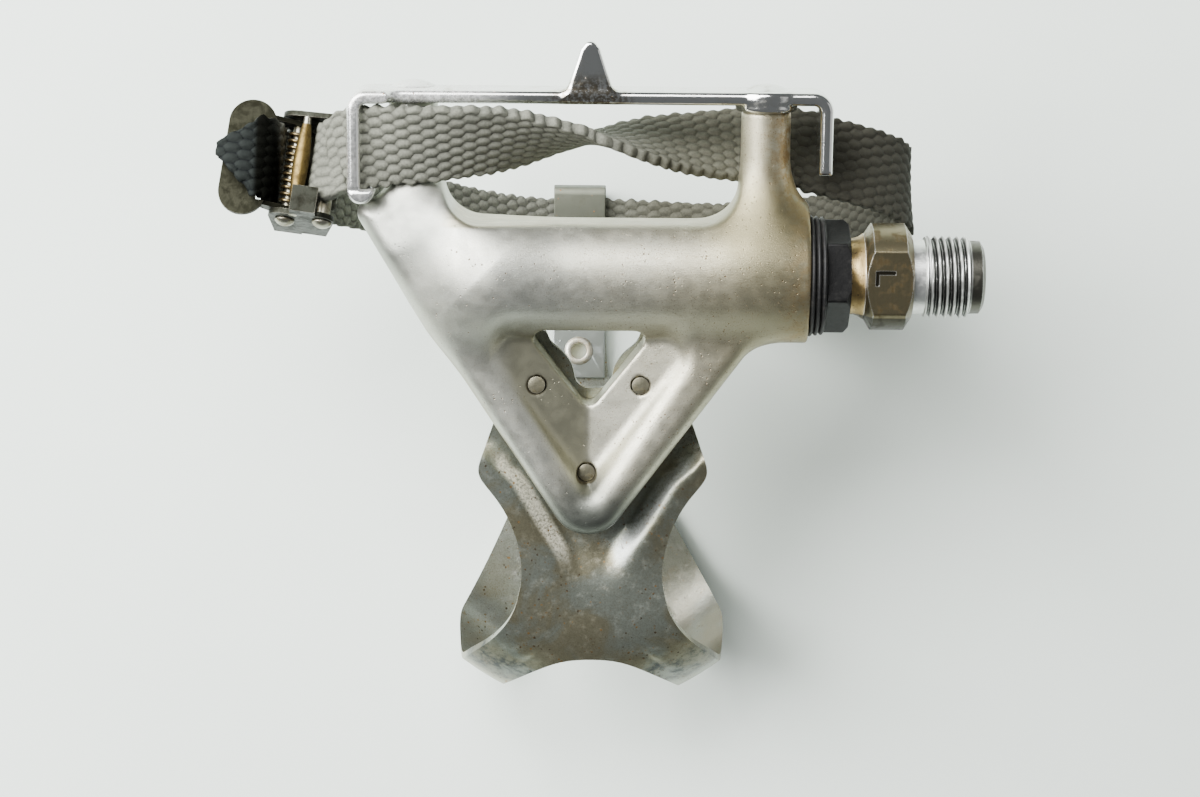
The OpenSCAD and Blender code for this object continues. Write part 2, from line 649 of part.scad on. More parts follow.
// Outline of a cheek, as X and Z from the pivot
module cheek_outline() {
    hull() {
        translate([-0.2, 1]) circle(r = 2.7, $fn = 32);
        translate([bar_at[0] - 0.7, bar_at[1] + 0.2]) circle(r = 2.7, $fn = 32);
        translate([-2.3, -7.4]) square([9.2, 1]);
    }
}

// Folded buckle frame: two cheeks joined by a floor, with a tab folded over the strap
module buckle_base() {
    outer = buckle_gap / 2 + cheek_t;
    color(olive) in_buckle() difference() {
        union() {
            for (y = [-outer, outer - cheek_t]) translate([0, y + cheek_t, 0])
                rotate([90, 0, 0]) linear_extrude(cheek_t) cheek_outline();
            translate([-2.3, -outer, -8.2]) cube([4.9, 2 * outer, cheek_t]);
            // Tab of the near cheek, folded over the strap
            translate([1, -outer, 3]) cube([4.4, cheek_t, 3.3]);
            translate([1, -outer, 5.5]) cube([4.4, 4.6, 0.8]);
        }
        along_y(bar_at[0], bar_at[1], -20, 20, bar_r + 0.02);
        along_y(roller_at[0], roller_at[1], -20, 20, 0.72);
        along_y(0, 0, -20, 20, pin_r + 0.02);
    }
}

// Pin with a shank through both cheeks and a domed head at each end
module headed_pin(x, z, r, head_r) {
    reach = buckle_gap / 2 + cheek_t;
    along_y(x, z, -reach - 0.3, reach + 0.3, r);
    for (s = [-1, 1]) intersection() {
        translate([x, s * (reach + 0.75 - head_r), z]) sphere(r = head_r * 1.25);
        along_y(x, z, s > 0 ? reach : -reach - 2, s > 0 ? reach + 2 : -reach, head_r);
    }
}

// Bar that the strap's sewn end turns round
module strap_bar() {
    color(steel) in_buckle() headed_pin(bar_at[0], bar_at[1], bar_r, 1.7);
}

// Pin of the strap roller
module roller_pin() {
    reach = buckle_gap / 2 + cheek_t;
    color(steel) in_buckle() along_y(roller_at[0], roller_at[1], -reach, reach, 0.7);
}

// Brass barrel-shaped roller
module strap_roller() {
    half = buckle_gap / 2 - 0.5;
    color(brass) in_buckle() translate([roller_at[0], 0, roller_at[1]]) rotate([90, 0, 0])
        rotate_extrude($fn = 96) difference() {
            intersection() {
                translate([0, -half]) square([1.4, 2 * half]);
                translate([1.4 - 40, 0]) circle(r = 40, $fn = 1440);
            }
            translate([-1, -half - 1]) square([1.76, 2 * half + 2]);
        }
}

// Pivot pin of the lever
module lever_pin() {
    color(steel) in_buckle() headed_pin(0, 0, pin_r, 1.7);
}

// Torsion spring round the lever's pin
module lever_spring() {
    turns = 11;
    wire = 0.3;
    coil = 1.38;
    half = 6.6;
    steps = 12;
    n = turns * steps;
    ring = [for (k = [0:4]) [coil + wire * cos(k * 72), wire * sin(k * 72)]];
    pts = [for (i = [0:n]) let (a = i * 360 / steps, y = -half + 2 * half * i / n)
        each [for (q = ring) [q[0] * cos(a), y + q[1], q[0] * sin(a)]]];
    color(steel) in_buckle() polyhedron(points = pts, faces = concat(
        [for (i = [0:n - 1], j = [0:4]) [i * 5 + j, (i + 1) * 5 + (j + 1) % 5, i * 5 + (j + 1) % 5]],
        [for (i = [0:n - 1], j = [0:4]) [i * 5 + j, (i + 1) * 5 + j, (i + 1) * 5 + (j + 1) % 5]],
        [[0, 1, 2, 3, 4]], [[for (j = [4:-1:0]) n * 5 + j]]));
}

// Thumb lever: a plate with round ends, two arms at the pin and a jaw bar on the strap
module buckle_lever() {
    arm_out = buckle_gap / 2 - 0.3;
    arm_t = 0.8;
    jaw = [2.5, -3.7];
    color(olive) in_buckle() difference() {
        union() {
            // Thumb plate
            translate([0, 0, 2.4]) linear_extrude(0.9) difference() {
                hull() for (s = [-1, 1]) translate([-7.7, s * 6.2]) circle(r = 4.1, $fn = 48);
                translate([-5.3, -7.4]) square([6, 14.8]);
            }
            // Arms
            for (y = [-arm_out, arm_out - arm_t]) translate([0, y + arm_t, 0])
                rotate([90, 0, 0]) linear_extrude(arm_t) hull() {
                    translate([-6.3, 2.55]) square([2, 0.6]);
                    circle(r = 1.7, $fn = 32);
                    translate(jaw) circle(r = 1, $fn = 32);
                }
            // Jaw
            along_y(jaw[0], jaw[1], 0.4 - arm_out, arm_out - 0.4, 0.85);
        }
        along_y(0, 0, -20, 20, pin_r + 0.05);
    }
}

spindle();
inner_cone();
cone_locknut();
outer_balls();
inner_balls();
pedal_body();
bearing_sleeve();
lock_bolt();
dust_seal();
cage_plate();
cage_screws();
toe_clip();
clip_backing_plate();
clip_screws();
strap_loop();
loop_rivet();
toe_strap();
buckle_base();
strap_bar();
roller_pin();
strap_roller();
lever_pin();
lever_spring();
buckle_lever();
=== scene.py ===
"""Looks of a bicycle pedal with a toe clip and strap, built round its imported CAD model.

Everything is in the frame of the CAD part: X runs along the spindle to the crank,
Y to the rear of the pedal and Z up out of its underside. Sizes in the classes are in
millimetres, and meshes are scaled to metres as they are made.
"""

import logging
import math
from dataclasses import dataclass, field
from enum import Enum
from typing import Callable, Sequence

import bmesh
import bpy
import numpy as np
from mathutils import Euler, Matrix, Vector


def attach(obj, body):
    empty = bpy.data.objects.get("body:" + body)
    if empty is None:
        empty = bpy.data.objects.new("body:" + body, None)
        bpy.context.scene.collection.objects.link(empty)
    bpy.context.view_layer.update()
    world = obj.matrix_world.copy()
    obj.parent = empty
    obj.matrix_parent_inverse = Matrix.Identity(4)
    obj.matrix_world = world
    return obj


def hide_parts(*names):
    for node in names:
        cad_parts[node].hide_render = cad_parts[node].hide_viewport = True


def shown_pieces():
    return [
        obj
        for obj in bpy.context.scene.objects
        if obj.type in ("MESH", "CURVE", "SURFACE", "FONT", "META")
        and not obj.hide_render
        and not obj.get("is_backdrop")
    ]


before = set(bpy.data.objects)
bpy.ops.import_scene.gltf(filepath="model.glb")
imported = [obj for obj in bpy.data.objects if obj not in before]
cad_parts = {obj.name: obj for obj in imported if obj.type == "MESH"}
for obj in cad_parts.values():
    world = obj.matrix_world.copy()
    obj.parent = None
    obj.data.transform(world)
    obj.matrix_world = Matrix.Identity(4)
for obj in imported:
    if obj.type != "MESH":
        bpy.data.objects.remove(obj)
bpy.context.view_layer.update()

MM = 0.001
CLIP_SCREWS = ((-64.7, -19.2), (-46.6, -19.2), (-55.9, -35.2))
BUMP_WIDTH = (1.68, 1.8)
BUMP_LENGTH = (2.75, 2.9)
LOG = logging.getLogger("pedal")

Point = tuple[float, float, float]
Colour = Point
Pairs = tuple[tuple[float, float], ...]
Numbers = Sequence[float]
Array = np.ndarray
Piece = bpy.types.Object
Material = bpy.types.Material
Socket = bpy.types.NodeSocket


class Body(Enum):
    """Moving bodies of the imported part."""

    SPINDLE = "spindle_unit"
    PEDAL = "pedal"
    OUTER_RING = "outer_ball_ring"
    INNER_RING = "inner_ball_ring"
    ROLLER = "roller"
    LEVER = "lever"


# Meshes


def mesh_object(name: str, points: Array, faces: Sequence[Sequence[int]]) -> Piece:
    """Makes an object from points in millimetres.

    Args:
        name: Name of the object and its mesh.
        points: N x 3 array of points in millimetres.
        faces: Corner indices of each face.

    Returns:
        The new object, linked to the scene at the origin.
    """
    mesh = bpy.data.meshes.new(name)
    mesh.from_pydata((np.asarray(points, float) * MM).tolist(), [], [list(map(int, f)) for f in faces])
    mesh.validate()
    mesh.shade_smooth()
    obj = bpy.data.objects.new(name, mesh)
    bpy.context.scene.collection.objects.link(obj)
    return obj


def merged_copy(node: str, name: str) -> Piece:
    """Copies a CAD node's mesh into a new object and merges its loose triangles.

    Args:
        node: Name of the CAD node.
        name: Name of the new object.

    Returns:
        The copy, with its doubled points merged.
    """
    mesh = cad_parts[node].data.copy()
    mesh.name = name
    mesh.materials.clear()
    work = bmesh.new()
    work.from_mesh(mesh)
    bmesh.ops.remove_doubles(work, verts=work.verts, dist=2e-6)
    bmesh.ops.dissolve_degenerate(work, edges=work.edges, dist=1e-6)
    work.to_mesh(mesh)
    work.free()
    if mesh.has_custom_normals:
        with bpy.context.temp_override():
            mesh.normals_split_custom_set([(0, 0, 0)] * len(mesh.loops))
    obj = bpy.data.objects.new(name, mesh)
    bpy.context.scene.collection.objects.link(obj)
    return obj


def make_plain(obj: Piece) -> Piece:
    """Turns an object's live modifiers into plain mesh.

    Args:
        obj: Object with modifiers.

    Returns:
        The same object, with the evaluated mesh and no modifiers.
    """
    graph = bpy.context.evaluated_depsgraph_get()
    mesh = bpy.data.meshes.new_from_object(obj.evaluated_get(graph), depsgraph=graph)
    mesh.name = obj.name
    obj.modifiers.clear()
    obj.data = mesh
    return obj


def bevelled(obj: Piece, width: float, segments: int = 2, angle: float = 32) -> Piece:
    """Rounds the sharp edges of an object.

    Args:
        obj: Object to round.
        width: Width of the bevel in millimetres.
        segments: Steps across each bevel.
        angle: Edges that turn more than this many degrees are rounded.

    Returns:
        The object with rounded edges and smooth shading.
    """
    bevel = obj.modifiers.new("edges", "BEVEL")
    bevel.width = width * MM
    bevel.segments = segments
    bevel.limit_method = "ANGLE"
    bevel.angle_limit = math.radians(angle)
    bevel.harden_normals = False
    bevel.use_clamp_overlap = True
    obj.data.shade_smooth()
    even = obj.modifiers.new("even", "WEIGHTED_NORMAL")
    even.weight = 100
    return make_plain(obj)


def ring_faces(first: int, second: int, around: int) -> list[tuple[int, ...]]:
    """Quads between two rings of points, by the numbers of the rings."""
    a, b = first * around, second * around
    return [(a + k, a + (k + 1) % around, b + (k + 1) % around, b + k) for k in range(around)]


def ring_point(x: float, r: float, angle: float) -> Point:
    """Point at X and a radius, where angle 0 points along +Z."""
    return x, r * math.sin(angle), r * math.cos(angle)


def round_bar(a: Numbers, b: Numbers, r: float, around: int = 48) -> tuple[Array, list]:
    """Points and faces of a plain round bar from a to b."""
    start, way = np.array(a, float), np.array(b, float) - np.array(a, float)
    side = np.cross(way, [0.3, 1.0, 0.2])
    side /= np.linalg.norm(side)
    other = np.cross(way, side)
    other /= np.linalg.norm(other)
    angles = np.linspace(0, 2 * math.pi, around, endpoint=False)
    ring = r * (np.cos(angles)[:, None] * side + np.sin(angles)[:, None] * other)
    faces = [*ring_faces(0, 1, around), tuple(reversed(range(around))), tuple(range(around, 2 * around))]
    return np.vstack([start + ring, start + way + ring]), faces


def drilled(obj: Piece, bars: Sequence[tuple[Numbers, Numbers, float]]) -> Piece:
    """Cuts round holes through an object.

    Args:
        obj: Object to cut.
        bars: Start, end and radius of each hole in millimetres.

    Returns:
        The object with its holes, as plain mesh.
    """
    points, faces = [], []
    for a, b, r in bars:
        more, rings = round_bar(a, b, r)
        faces += [tuple(k + len(points) for k in ring) for ring in rings]
        points += more.tolist()
    drill = mesh_object(obj.name + "_drill", np.array(points), faces)
    cut = obj.modifiers.new("holes", "BOOLEAN")
    cut.operation = "DIFFERENCE"
    cut.solver = "EXACT"
    cut.object = drill
    make_plain(obj)
    bpy.data.objects.remove(drill)
    return obj


def lathe_grid(stations: Numbers, around: int, radius: Callable[[float, float], float]) -> tuple[Array, list]:
    """Makes a closed solid round the X axis from a radius at each station and angle.

    Args:
        stations: X of every ring, in order towards +X.
        around: Number of points in each ring.
        radius: Radius for an X and an angle, where angle 0 points along +Z.

    Returns:
        Points and faces, with both ends closed.
    """
    angles = [2 * math.pi * k / around for k in range(around)]
    points = [ring_point(x, radius(x, a), a) for x in stations for a in angles]
    faces = [face for i in range(len(stations) - 1) for face in ring_faces(i, i + 1, around)]
    first = len(points)
    points += [(stations[0], 0, 0), (stations[-1], 0, 0)]
    last = (len(stations) - 1) * around
    for k in range(around):
        n = (k + 1) % around
        faces.append((first, n, k))
        faces.append((first + 1, last + k, last + n))
    return np.array(points), faces


# Solid fields: signed distances in millimetres, negative inside


def blend_min(a: Array, b: Array, span: float) -> Array:
    """Union of two fields with a fillet of about span."""
    h = np.maximum(span - np.abs(a - b), 0) / span
    return np.minimum(a, b) - h * h * span / 4


def blend_max(a: Array, b: Array, span: float) -> Array:
    """Intersection of two fields with a rounded edge of about span."""
    return -blend_min(-a, -b, span)


def rod(x: Array, y: Array, z: Array, a: Numbers, b: Numbers, ra: float, rb: float) -> Array:
    """Field of a round-ended rod from a to b whose radius runs from ra to rb."""
    ax, d = np.array(a, float), np.array(b, float) - np.array(a, float)
    t = np.clip(((x - ax[0]) * d[0] + (y - ax[1]) * d[1] + (z - ax[2]) * d[2]) / float(d @ d), 0, 1)
    away = (x - ax[0] - t * d[0]) ** 2 + (y - ax[1] - t * d[1]) ** 2 + (z - ax[2] - t * d[2]) ** 2
    return np.sqrt(away) - (ra + (rb - ra) * t)


def polygon_field(x: Array, y: Array, corners: Sequence[tuple[float, float]]) -> Array:
    """Signed distance to a closed outline in plan."""
    x, y = np.broadcast_arrays(x, y)
    nearest = np.full(x.shape, 1e9)
    inside = np.zeros(x.shape, bool)
    for (ax, ay), (bx, by) in zip(corners, [*corners[1:], corners[0]]):
        ex, ey = bx - ax, by - ay
        t = np.clip(((x - ax) * ex + (y - ay) * ey) / (ex * ex + ey * ey + 1e-12), 0, 1)
        nearest = np.minimum(nearest, (x - ax - t * ex) ** 2 + (y - ay - t * ey) ** 2)
        if ay != by:
            crosses = ((ay > y) != (by > y)) & (x < (bx - ax) * (y - ay) / (by - ay) + ax)
            inside ^= crosses
    return np.sqrt(nearest) * np.where(inside, -1, 1)


def arc(cx: float, cy: float, r: float, start: float, end: float, steps: int = 12) -> list[tuple[float, float]]:
    """Points of an arc in plan, angles in degrees."""
    angles = [math.radians(a) for a in np.linspace(start, end, steps)]
    return [(cx + r * math.cos(a), cy + r * math.sin(a)) for a in angles]


def rounded_block(flat: Array, height: Array, r: float) -> Array:
    """Field of an outline with thickness, whose rim is rounded by r."""
    a, b = flat + r, height + r
    return np.minimum(np.maximum(a, b), 0) + np.sqrt(np.maximum(a, 0) ** 2 + np.maximum(b, 0) ** 2) - r


def box_field(x: Array, y: Array, z: Array, low: Numbers, high: Numbers) -> Array:
    """Field of a box between two corners."""
    sides = [np.abs(v - (a + b) / 2) - (b - a) / 2 for v, a, b in zip((x, y, z), low, high)]
    return np.maximum(np.maximum(sides[0], sides[1]), sides[2])


def net_surface(solid: Callable, low: Numbers, high: Numbers, step: float) -> tuple[Array, list]:
    """Turns a field into a closed mesh of quads whose points lie on its surface.

    Args:
        solid: Function of x, y and z arrays that gives the field.
        low: Lowest corner of the space searched, in millimetres.
        high: Highest corner.
        step: Size of a cell.

    Returns:
        Points and quads that face outwards.
    """
    xs, ys, zs = (np.arange(a, b + step, step) for a, b in zip(low, high))
    values = solid(xs[:, None, None], ys[None, :, None], zs[None, None, :]).astype(np.float32)
    inside = values < 0
    total = np.zeros(tuple(n - 1 for n in values.shape) + (3,), np.float32)
    count = np.zeros(tuple(n - 1 for n in values.shape), np.int16)
    cell = tuple(n - 1 for n in values.shape)
    for axis in range(3):
        others = [k for k in range(3) if k != axis]
        for da in (0, 1):
            for db in (0, 1):
                first, second = [slice(0, n) for n in cell], [slice(0, n) for n in cell]
                for s in (first, second):
                    s[others[0]] = slice(da, cell[others[0]] + da)
                    s[others[1]] = slice(db, cell[others[1]] + db)
                second[axis] = slice(1, cell[axis] + 1)
                a, b = values[tuple(first)], values[tuple(second)]
                cut = (a < 0) != (b < 0)
                t = np.where(cut, a / np.where(cut, a - b, 1), 0)
                count += cut
                total[..., axis] += np.where(cut, t, 0)
                total[..., others[0]] += cut * da
                total[..., others[1]] += cut * db
    used = count > 0
    index = np.full(cell, -1, np.int64)
    index[used] = np.arange(int(used.sum()))
    where = np.argwhere(used)
    points = (where + total[used] / count[used][:, None]) * step + np.array([xs[0], ys[0], zs[0]])
    for _ in range(4):
        x, y, z = points[:, 0], points[:, 1], points[:, 2]
        e = 0.02
        here = solid(x, y, z)
        slope = np.stack(
            [solid(x + e, y, z) - here, solid(x, y + e, z) - here, solid(x, y, z + e) - here], axis=1
        ) / e
        move = slope * (here / np.maximum((slope**2).sum(1), 0.25))[:, None]
        points = points - np.clip(move, -0.3 * step, 0.3 * step)
    quads = []
    for axis in range(3):
        u, v = [(1, 2), (2, 0), (0, 1)][axis]
        low_side = [slice(1, n - 1) for n in values.shape]
        high_side = list(low_side)
        low_side[axis] = slice(0, values.shape[axis] - 1)
        high_side[axis] = slice(1, values.shape[axis])
        a, b = inside[tuple(low_side)], inside[tuple(high_side)]
        for into in (True, False):
            spots = np.argwhere((a & ~b) if into else (~a & b))
            spots = spots + np.array([0 if k == axis else 1 for k in range(3)])
            back_u, back_v = np.eye(3, dtype=int)[u], np.eye(3, dtype=int)[v]
            corners = [spots - back_u - back_v, spots - back_v, spots, spots - back_u]
            ring = [index[c[:, 0], c[:, 1], c[:, 2]] for c in corners]
            quads.append(np.stack(ring if into else ring[::-1], axis=1))
    return points, np.concatenate(quads).tolist()


# Geometry Nodes


class Nodes:
    """Node tree with short ways to add and join nodes."""

    def __init__(self, tree: bpy.types.NodeTree) -> None:
        """Keeps the tree that nodes are added to."""
        self.tree = tree

    def put(self, socket: Socket, value: object) -> None:
        """Links a socket to a value's socket, or sets its plain value."""
        if isinstance(value, bpy.types.NodeSocket):
            self.tree.links.new(value, socket)
        elif socket.type == "RGBA" and len(value) == 3:
            socket.default_value = (*value, 1.0)
        else:
            socket.default_value = value

    def node(self, kind: str, inputs: dict | None = None, **settings: object) -> bpy.types.Node:
        """Adds a node.

        Args:
            kind: Node type, where a colon stands for "GeometryNode".
            inputs: Value or socket for inputs, by name or index.
            settings: Properties set on the node before its inputs.

        Returns:
            The new node.
        """
        made = self.tree.nodes.new(kind.replace(":", "GeometryNode"))
        for key, value in settings.items():
            setattr(made, key, value)
        for key, value in (inputs or {}).items():
            self.put(made.inputs[key], value)
        return made

    def math(self, operation: str, a: object, b: object = 0.0, clamp: bool = False) -> Socket:
        """Output of a math node on two values."""
        return self.node("ShaderNodeMath", {0: a, 1: b}, operation=operation, use_clamp=clamp).outputs[0]

    def pointed_bumps(self, across: Socket, along: Socket) -> Socket:
        """Height, 0 to 1, of two staggered sets of bumps that are pointed along the second direction."""

        def part(value: Socket, shift: float, stretch: float, power: float) -> Socket:
            """Fall of a bump's height away from its middle, in one direction."""
            away = self.math("SUBTRACT", self.math("FRACT", self.math("ADD", value, shift)), 0.5)
            return self.math("POWER", self.math("MULTIPLY", self.math("ABSOLUTE", away), stretch), power)

        sets = []
        for shift in (0.0, 0.5):
            wide = self.math("SUBTRACT", 1.0, part(across, shift, *BUMP_WIDTH))
            sets.append(self.math("SUBTRACT", wide, part(along, shift, *BUMP_LENGTH)))
        return self.math("MAXIMUM", self.math("MAXIMUM", *sets), 0.0)


class Recipe(Nodes):
    """Geometry Nodes tree with named inputs, run once on a host and made plain."""

    def __init__(self, name: str, sizes: dict[str, float]) -> None:
        """Starts the tree with a geometry input and one float input for each size."""
        super().__init__(bpy.data.node_groups.new(name, "GeometryNodeTree"))
        self.sizes = sizes
        face = self.tree.interface
        face.new_socket("Geometry", in_out="INPUT", socket_type="NodeSocketGeometry")
        self.identifiers = {
            key: face.new_socket(key, in_out="INPUT", socket_type="NodeSocketFloat").identifier for key in sizes
        }
        face.new_socket("Geometry", in_out="OUTPUT", socket_type="NodeSocketGeometry")
        self.entry = self.node("NodeGroupInput")
        self.exit = self.node("NodeGroupOutput")

    def size(self, key: str) -> Socket:
        """Output socket of one named size."""
        return self.entry.outputs[key]

    def run(self, host: Piece, geometry: Socket, material: Material) -> Piece:
        """Ends the tree, runs it on the host and leaves the result as plain mesh.

        Args:
            host: Object whose mesh feeds the tree.
            geometry: Socket of the finished geometry.
            material: Material for the result.

        Returns:
            The host, with the result as its mesh.
        """
        real = self.node(":RealizeInstances", {"Geometry": geometry})
        dressed = self.node(":SetMaterial", {"Geometry": real.outputs[0], "Material": material})
        self.put(self.exit.inputs[0], dressed.outputs[0])
        modifier = host.modifiers.new(self.tree.name, "NODES")
        modifier.node_group = self.tree
        for key, identifier in self.identifiers.items():
            modifier[identifier] = float(self.sizes[key])
        make_plain(host)
        host.data.shade_smooth()
        return host


# Materials


class Graph(Nodes):
    """Shader graph of one finish, with a colour that is laid on in coats.

    Patterns are laid out in millimetres of the part's own frame.
    """

    def __init__(self, name: str, colour: Colour = (0, 0, 0)) -> None:
        """Starts a material that holds a Principled shader and object coordinates."""
        self.material = bpy.data.materials.new(name)
        self.material.use_nodes = True
        super().__init__(self.material.node_tree)
        self.tree.nodes.clear()
        self.shader = self.node("ShaderNodeBsdfPrincipled")
        self.node("ShaderNodeOutputMaterial", {0: self.shader.outputs[0]})
        self.coordinates = self.node("ShaderNodeTexCoord").outputs["Object"]
        self.place = self.space()
        self.x, self.y, self.z = self.node("ShaderNodeSeparateXYZ", {0: self.place}).outputs
        self.colour = colour

    def space(self, stretch: Numbers = (1, 1, 1), turn: Numbers = (0, 0, 0)) -> Socket:
        """Object coordinates in millimetres, stretched and turned (degrees)."""
        scale, rotation = tuple(s / MM for s in stretch), tuple(math.radians(t) for t in turn)
        return self.node(
            "ShaderNodeMapping", {"Vector": self.coordinates, "Scale": scale, "Rotation": rotation}, vector_type="POINT"
        ).outputs[0]

    def noise(
        self, scale: float, detail: float = 4, rough: float = 0.55, warp: float = 0, place: Socket | None = None
    ) -> Socket:
        """Noise with a scale in cells for each millimetre."""
        sizes = {"Scale": scale, "Detail": detail, "Roughness": rough, "Distortion": warp}
        return self.node("ShaderNodeTexNoise", {"Vector": place or self.place, **sizes}).outputs[0]

    def cells(self, scale: float) -> Socket:
        """Distance to the nearest of scattered points, with a scale in cells for each millimetre."""
        return self.node("ShaderNodeTexVoronoi", {"Vector": self.place, "Scale": scale}).outputs["Distance"]

    def kept(self, key: str) -> Socket:
        """Value stored on the mesh under a name."""
        return self.node("ShaderNodeAttribute", attribute_name=key).outputs["Fac"]

    def span(self, value: object, low: float, high: float, to_low: float = 0, to_high: float = 1) -> Socket:
        """Smoothly maps a range of a value to another range, clamped at both ends."""
        ends = {"From Min": low, "From Max": high, "To Min": to_low, "To Max": to_high}
        return self.node("ShaderNodeMapRange", {"Value": value, **ends}, interpolation_type="SMOOTHSTEP").outputs[0]

    def times(self, *values: object) -> Socket:
        """Product of one or more values, clamped."""
        result = values[0]
        for value in values[1:]:
            result = self.math("MULTIPLY", result, value, clamp=True)
        return result

    def zone(self, **ranges: tuple[float, float]) -> Socket:
        """Mask that rises from 0 to 1 between two places on each axis given."""
        return self.times(*(self.span(getattr(self, axis), *ends) for axis, ends in ranges.items()))

    def mix(self, share: object, a: object, b: object) -> Socket:
        """Mix of two colours."""
        return self.node("ShaderNodeMix", {"Factor": share, 6: a, 7: b}, data_type="RGBA").outputs[2]

    def lay(self, colour: object, *shares: object) -> None:
        """Lays a colour over what is there, where the product of the shares is high."""
        self.colour = self.mix(self.times(*shares), self.colour, colour)

    def near(self, centre: Numbers, inner: float, outer: float, flatten: Numbers = (1, 1, 1)) -> Socket:
        """Mask that is 1 within inner of a point and 0 past outer, in millimetres."""
        way = self.place
        for operation, other in (("SUBTRACT", centre), ("MULTIPLY", flatten)):
            way = self.node("ShaderNodeVectorMath", {0: way, 1: other}, operation=operation).outputs[0]
        length = self.node("ShaderNodeVectorMath", {0: way}, operation="LENGTH")
        return self.span(length.outputs["Value"], inner, outer, 1, 0)

    def edges(self, width: float) -> Socket:
        """Mask that is 1 on edges that stick out and 0 on flat faces, from the surface's own bend."""
        soft = self.node("ShaderNodeBevel", {"Radius": width * MM}, samples=4).outputs[0]
        plain = self.node("ShaderNodeNewGeometry").outputs["Normal"]
        dot = self.node("ShaderNodeVectorMath", {0: soft, 1: plain}, operation="DOT_PRODUCT")
        return self.span(dot.outputs["Value"], 0.995, 0.9, 0, 1)

    def bump(self, *layers: tuple[Socket, float]) -> None:
        """Sets the shader's normal from height layers, each with its depth in millimetres."""
        target = self.shader.inputs["Normal"]
        for height, depth in reversed(layers):
            made = self.node("ShaderNodeBump", {"Strength": 1.0, "Distance": depth * MM, "Height": height})
            self.put(target, made.outputs[0])
            target = made.inputs["Normal"]

    def close(self, **sockets: object) -> Material:
        """Sets the colour and the shader's sockets by name, with underscores for spaces, and returns the material."""
        for key, value in {"Base_Color": self.colour, **sockets}.items():
            self.put(self.shader.inputs[key.replace("_", " ")], value)
        return self.material


@dataclass(frozen=True)
class CastAluminium:
    """Satin cast aluminium with pits, handling scratches and brown stains beside the crank, with painted shade on the
    dish's left facet, the V's nose, the left web and, together with stain, the right post's flare.
    """

    pale: Colour = (0.52, 0.533, 0.48)
    warm: Colour = (0.52, 0.48, 0.33)
    stain: Colour = (0.27, 0.18, 0.07)
    tan: Colour = (0.31, 0.3, 0.215)

    def make(self) -> Material:
        """Builds the material."""
        g = Graph("cast_aluminium")
        crank_side = g.span(g.x, -72, -24)
        cloud = g.span(g.noise(0.07, 3, 0.5), 0.35, 0.68)
        streak = g.noise(1.6, 5, 0.7, 0, g.space((0.25, 1, 1)))
        g.colour = g.mix(g.math("ADD", g.times(crank_side, 0.8), g.times(cloud, 0.15)), self.pale, self.warm)
        shade = g.zone(x=(-42, -19), y=(27, 8))
        g.lay((0.24, 0.215, 0.13), shade, 0.95)
        grain = g.noise(4.5, 5, 0.7)
        g.lay((0.3, 0.285, 0.225), g.span(grain, 0.35, 0.7, 0, 0.4))
        g.lay((0.34, 0.3, 0.2), g.span(streak, 0.4, 0.7), g.math("ADD", 0.12, g.times(crank_side, 0.25)))
        edge = g.zone(x=(-24.5, -19.5), z=(-3, 3))
        post = g.zone(x=(-27.5, -21.5), y=(6, 12))
        film = g.span(g.noise(0.5, 6, 0.75), 0.36, 0.6)
        g.lay(self.stain, g.math("ADD", g.times(edge, 0.55), post), film, 0.85)
        speck = g.span(g.cells(1.3), 0.23, 0.13)
        some = g.math("ADD", g.span(g.noise(0.21, 4), 0.5, 0.58), g.times(crank_side, 0.55), clamp=True)
        specks = g.times(speck, some, g.span(g.noise(1.1, 2), 0.45, 0.55))
        fine = g.times(g.span(g.cells(2.5), 0.3, 0.15), g.span(g.x, -86, -50), g.span(g.noise(0.5, 3), 0.42, 0.52))
        g.lay((0.13, 0.075, 0.03), g.math("ADD", specks, g.times(fine, 0.6), clamp=True), 0.85)
        wall = g.times(g.span(g.y, 12.5, 10.6), g.span(g.y, 8.8, 9.25), g.span(g.x, -82, -79), g.span(g.x, -28, -31))
        grime = g.noise(0.9, 5, 0.6, 0, g.space((0.12, 1, 3)))
        g.lay(g.mix(g.span(grime, 0.35, 0.65), self.tan, (0.46, 0.42, 0.31)), wall, 0.9)
        # Painted shade: the dish's left facet, which faces away from the key light, is laid tan.
        dish = g.zone(z=(4.6, 3.2), y=(-7.5, -10))
        g.lay(self.tan, dish, g.span(g.x, -54, -57), 0.9)
        # Painted shade: the V's nose and the left web are darkened where highlights would show; the flare by the right
        # post is darkened partly as brown stain and partly as painted shade.
        nose, web, flare = (-55.6, -43.5, 2), (-87, 8, 4), (-27, 9, 6)
        g.lay((0.11, 0.12, 0.105), g.near(nose, 3, 12, (0.7, 1, 1)), 0.95)
        g.lay((0.27, 0.28, 0.25), g.near(web, 3, 11), 0.9)
        g.lay((0.19, 0.17, 0.095), g.near(flare, 4, 13), 0.9)
        for x, y in CLIP_SCREWS:
            ring = g.near((x, y, 0), 1.72, 2.0, (1, 1, 0))
            g.lay((0.07, 0.06, 0.035), ring, 0.85)
        rough = g.span(g.noise(0.4, 5), 0.3, 0.7, 0.37, 0.48)
        g.bump((grain, 0.03), (g.noise(0.35, 2), 0.012), (specks, -0.05))
        return g.close(Metallic=0.9, Roughness=rough)


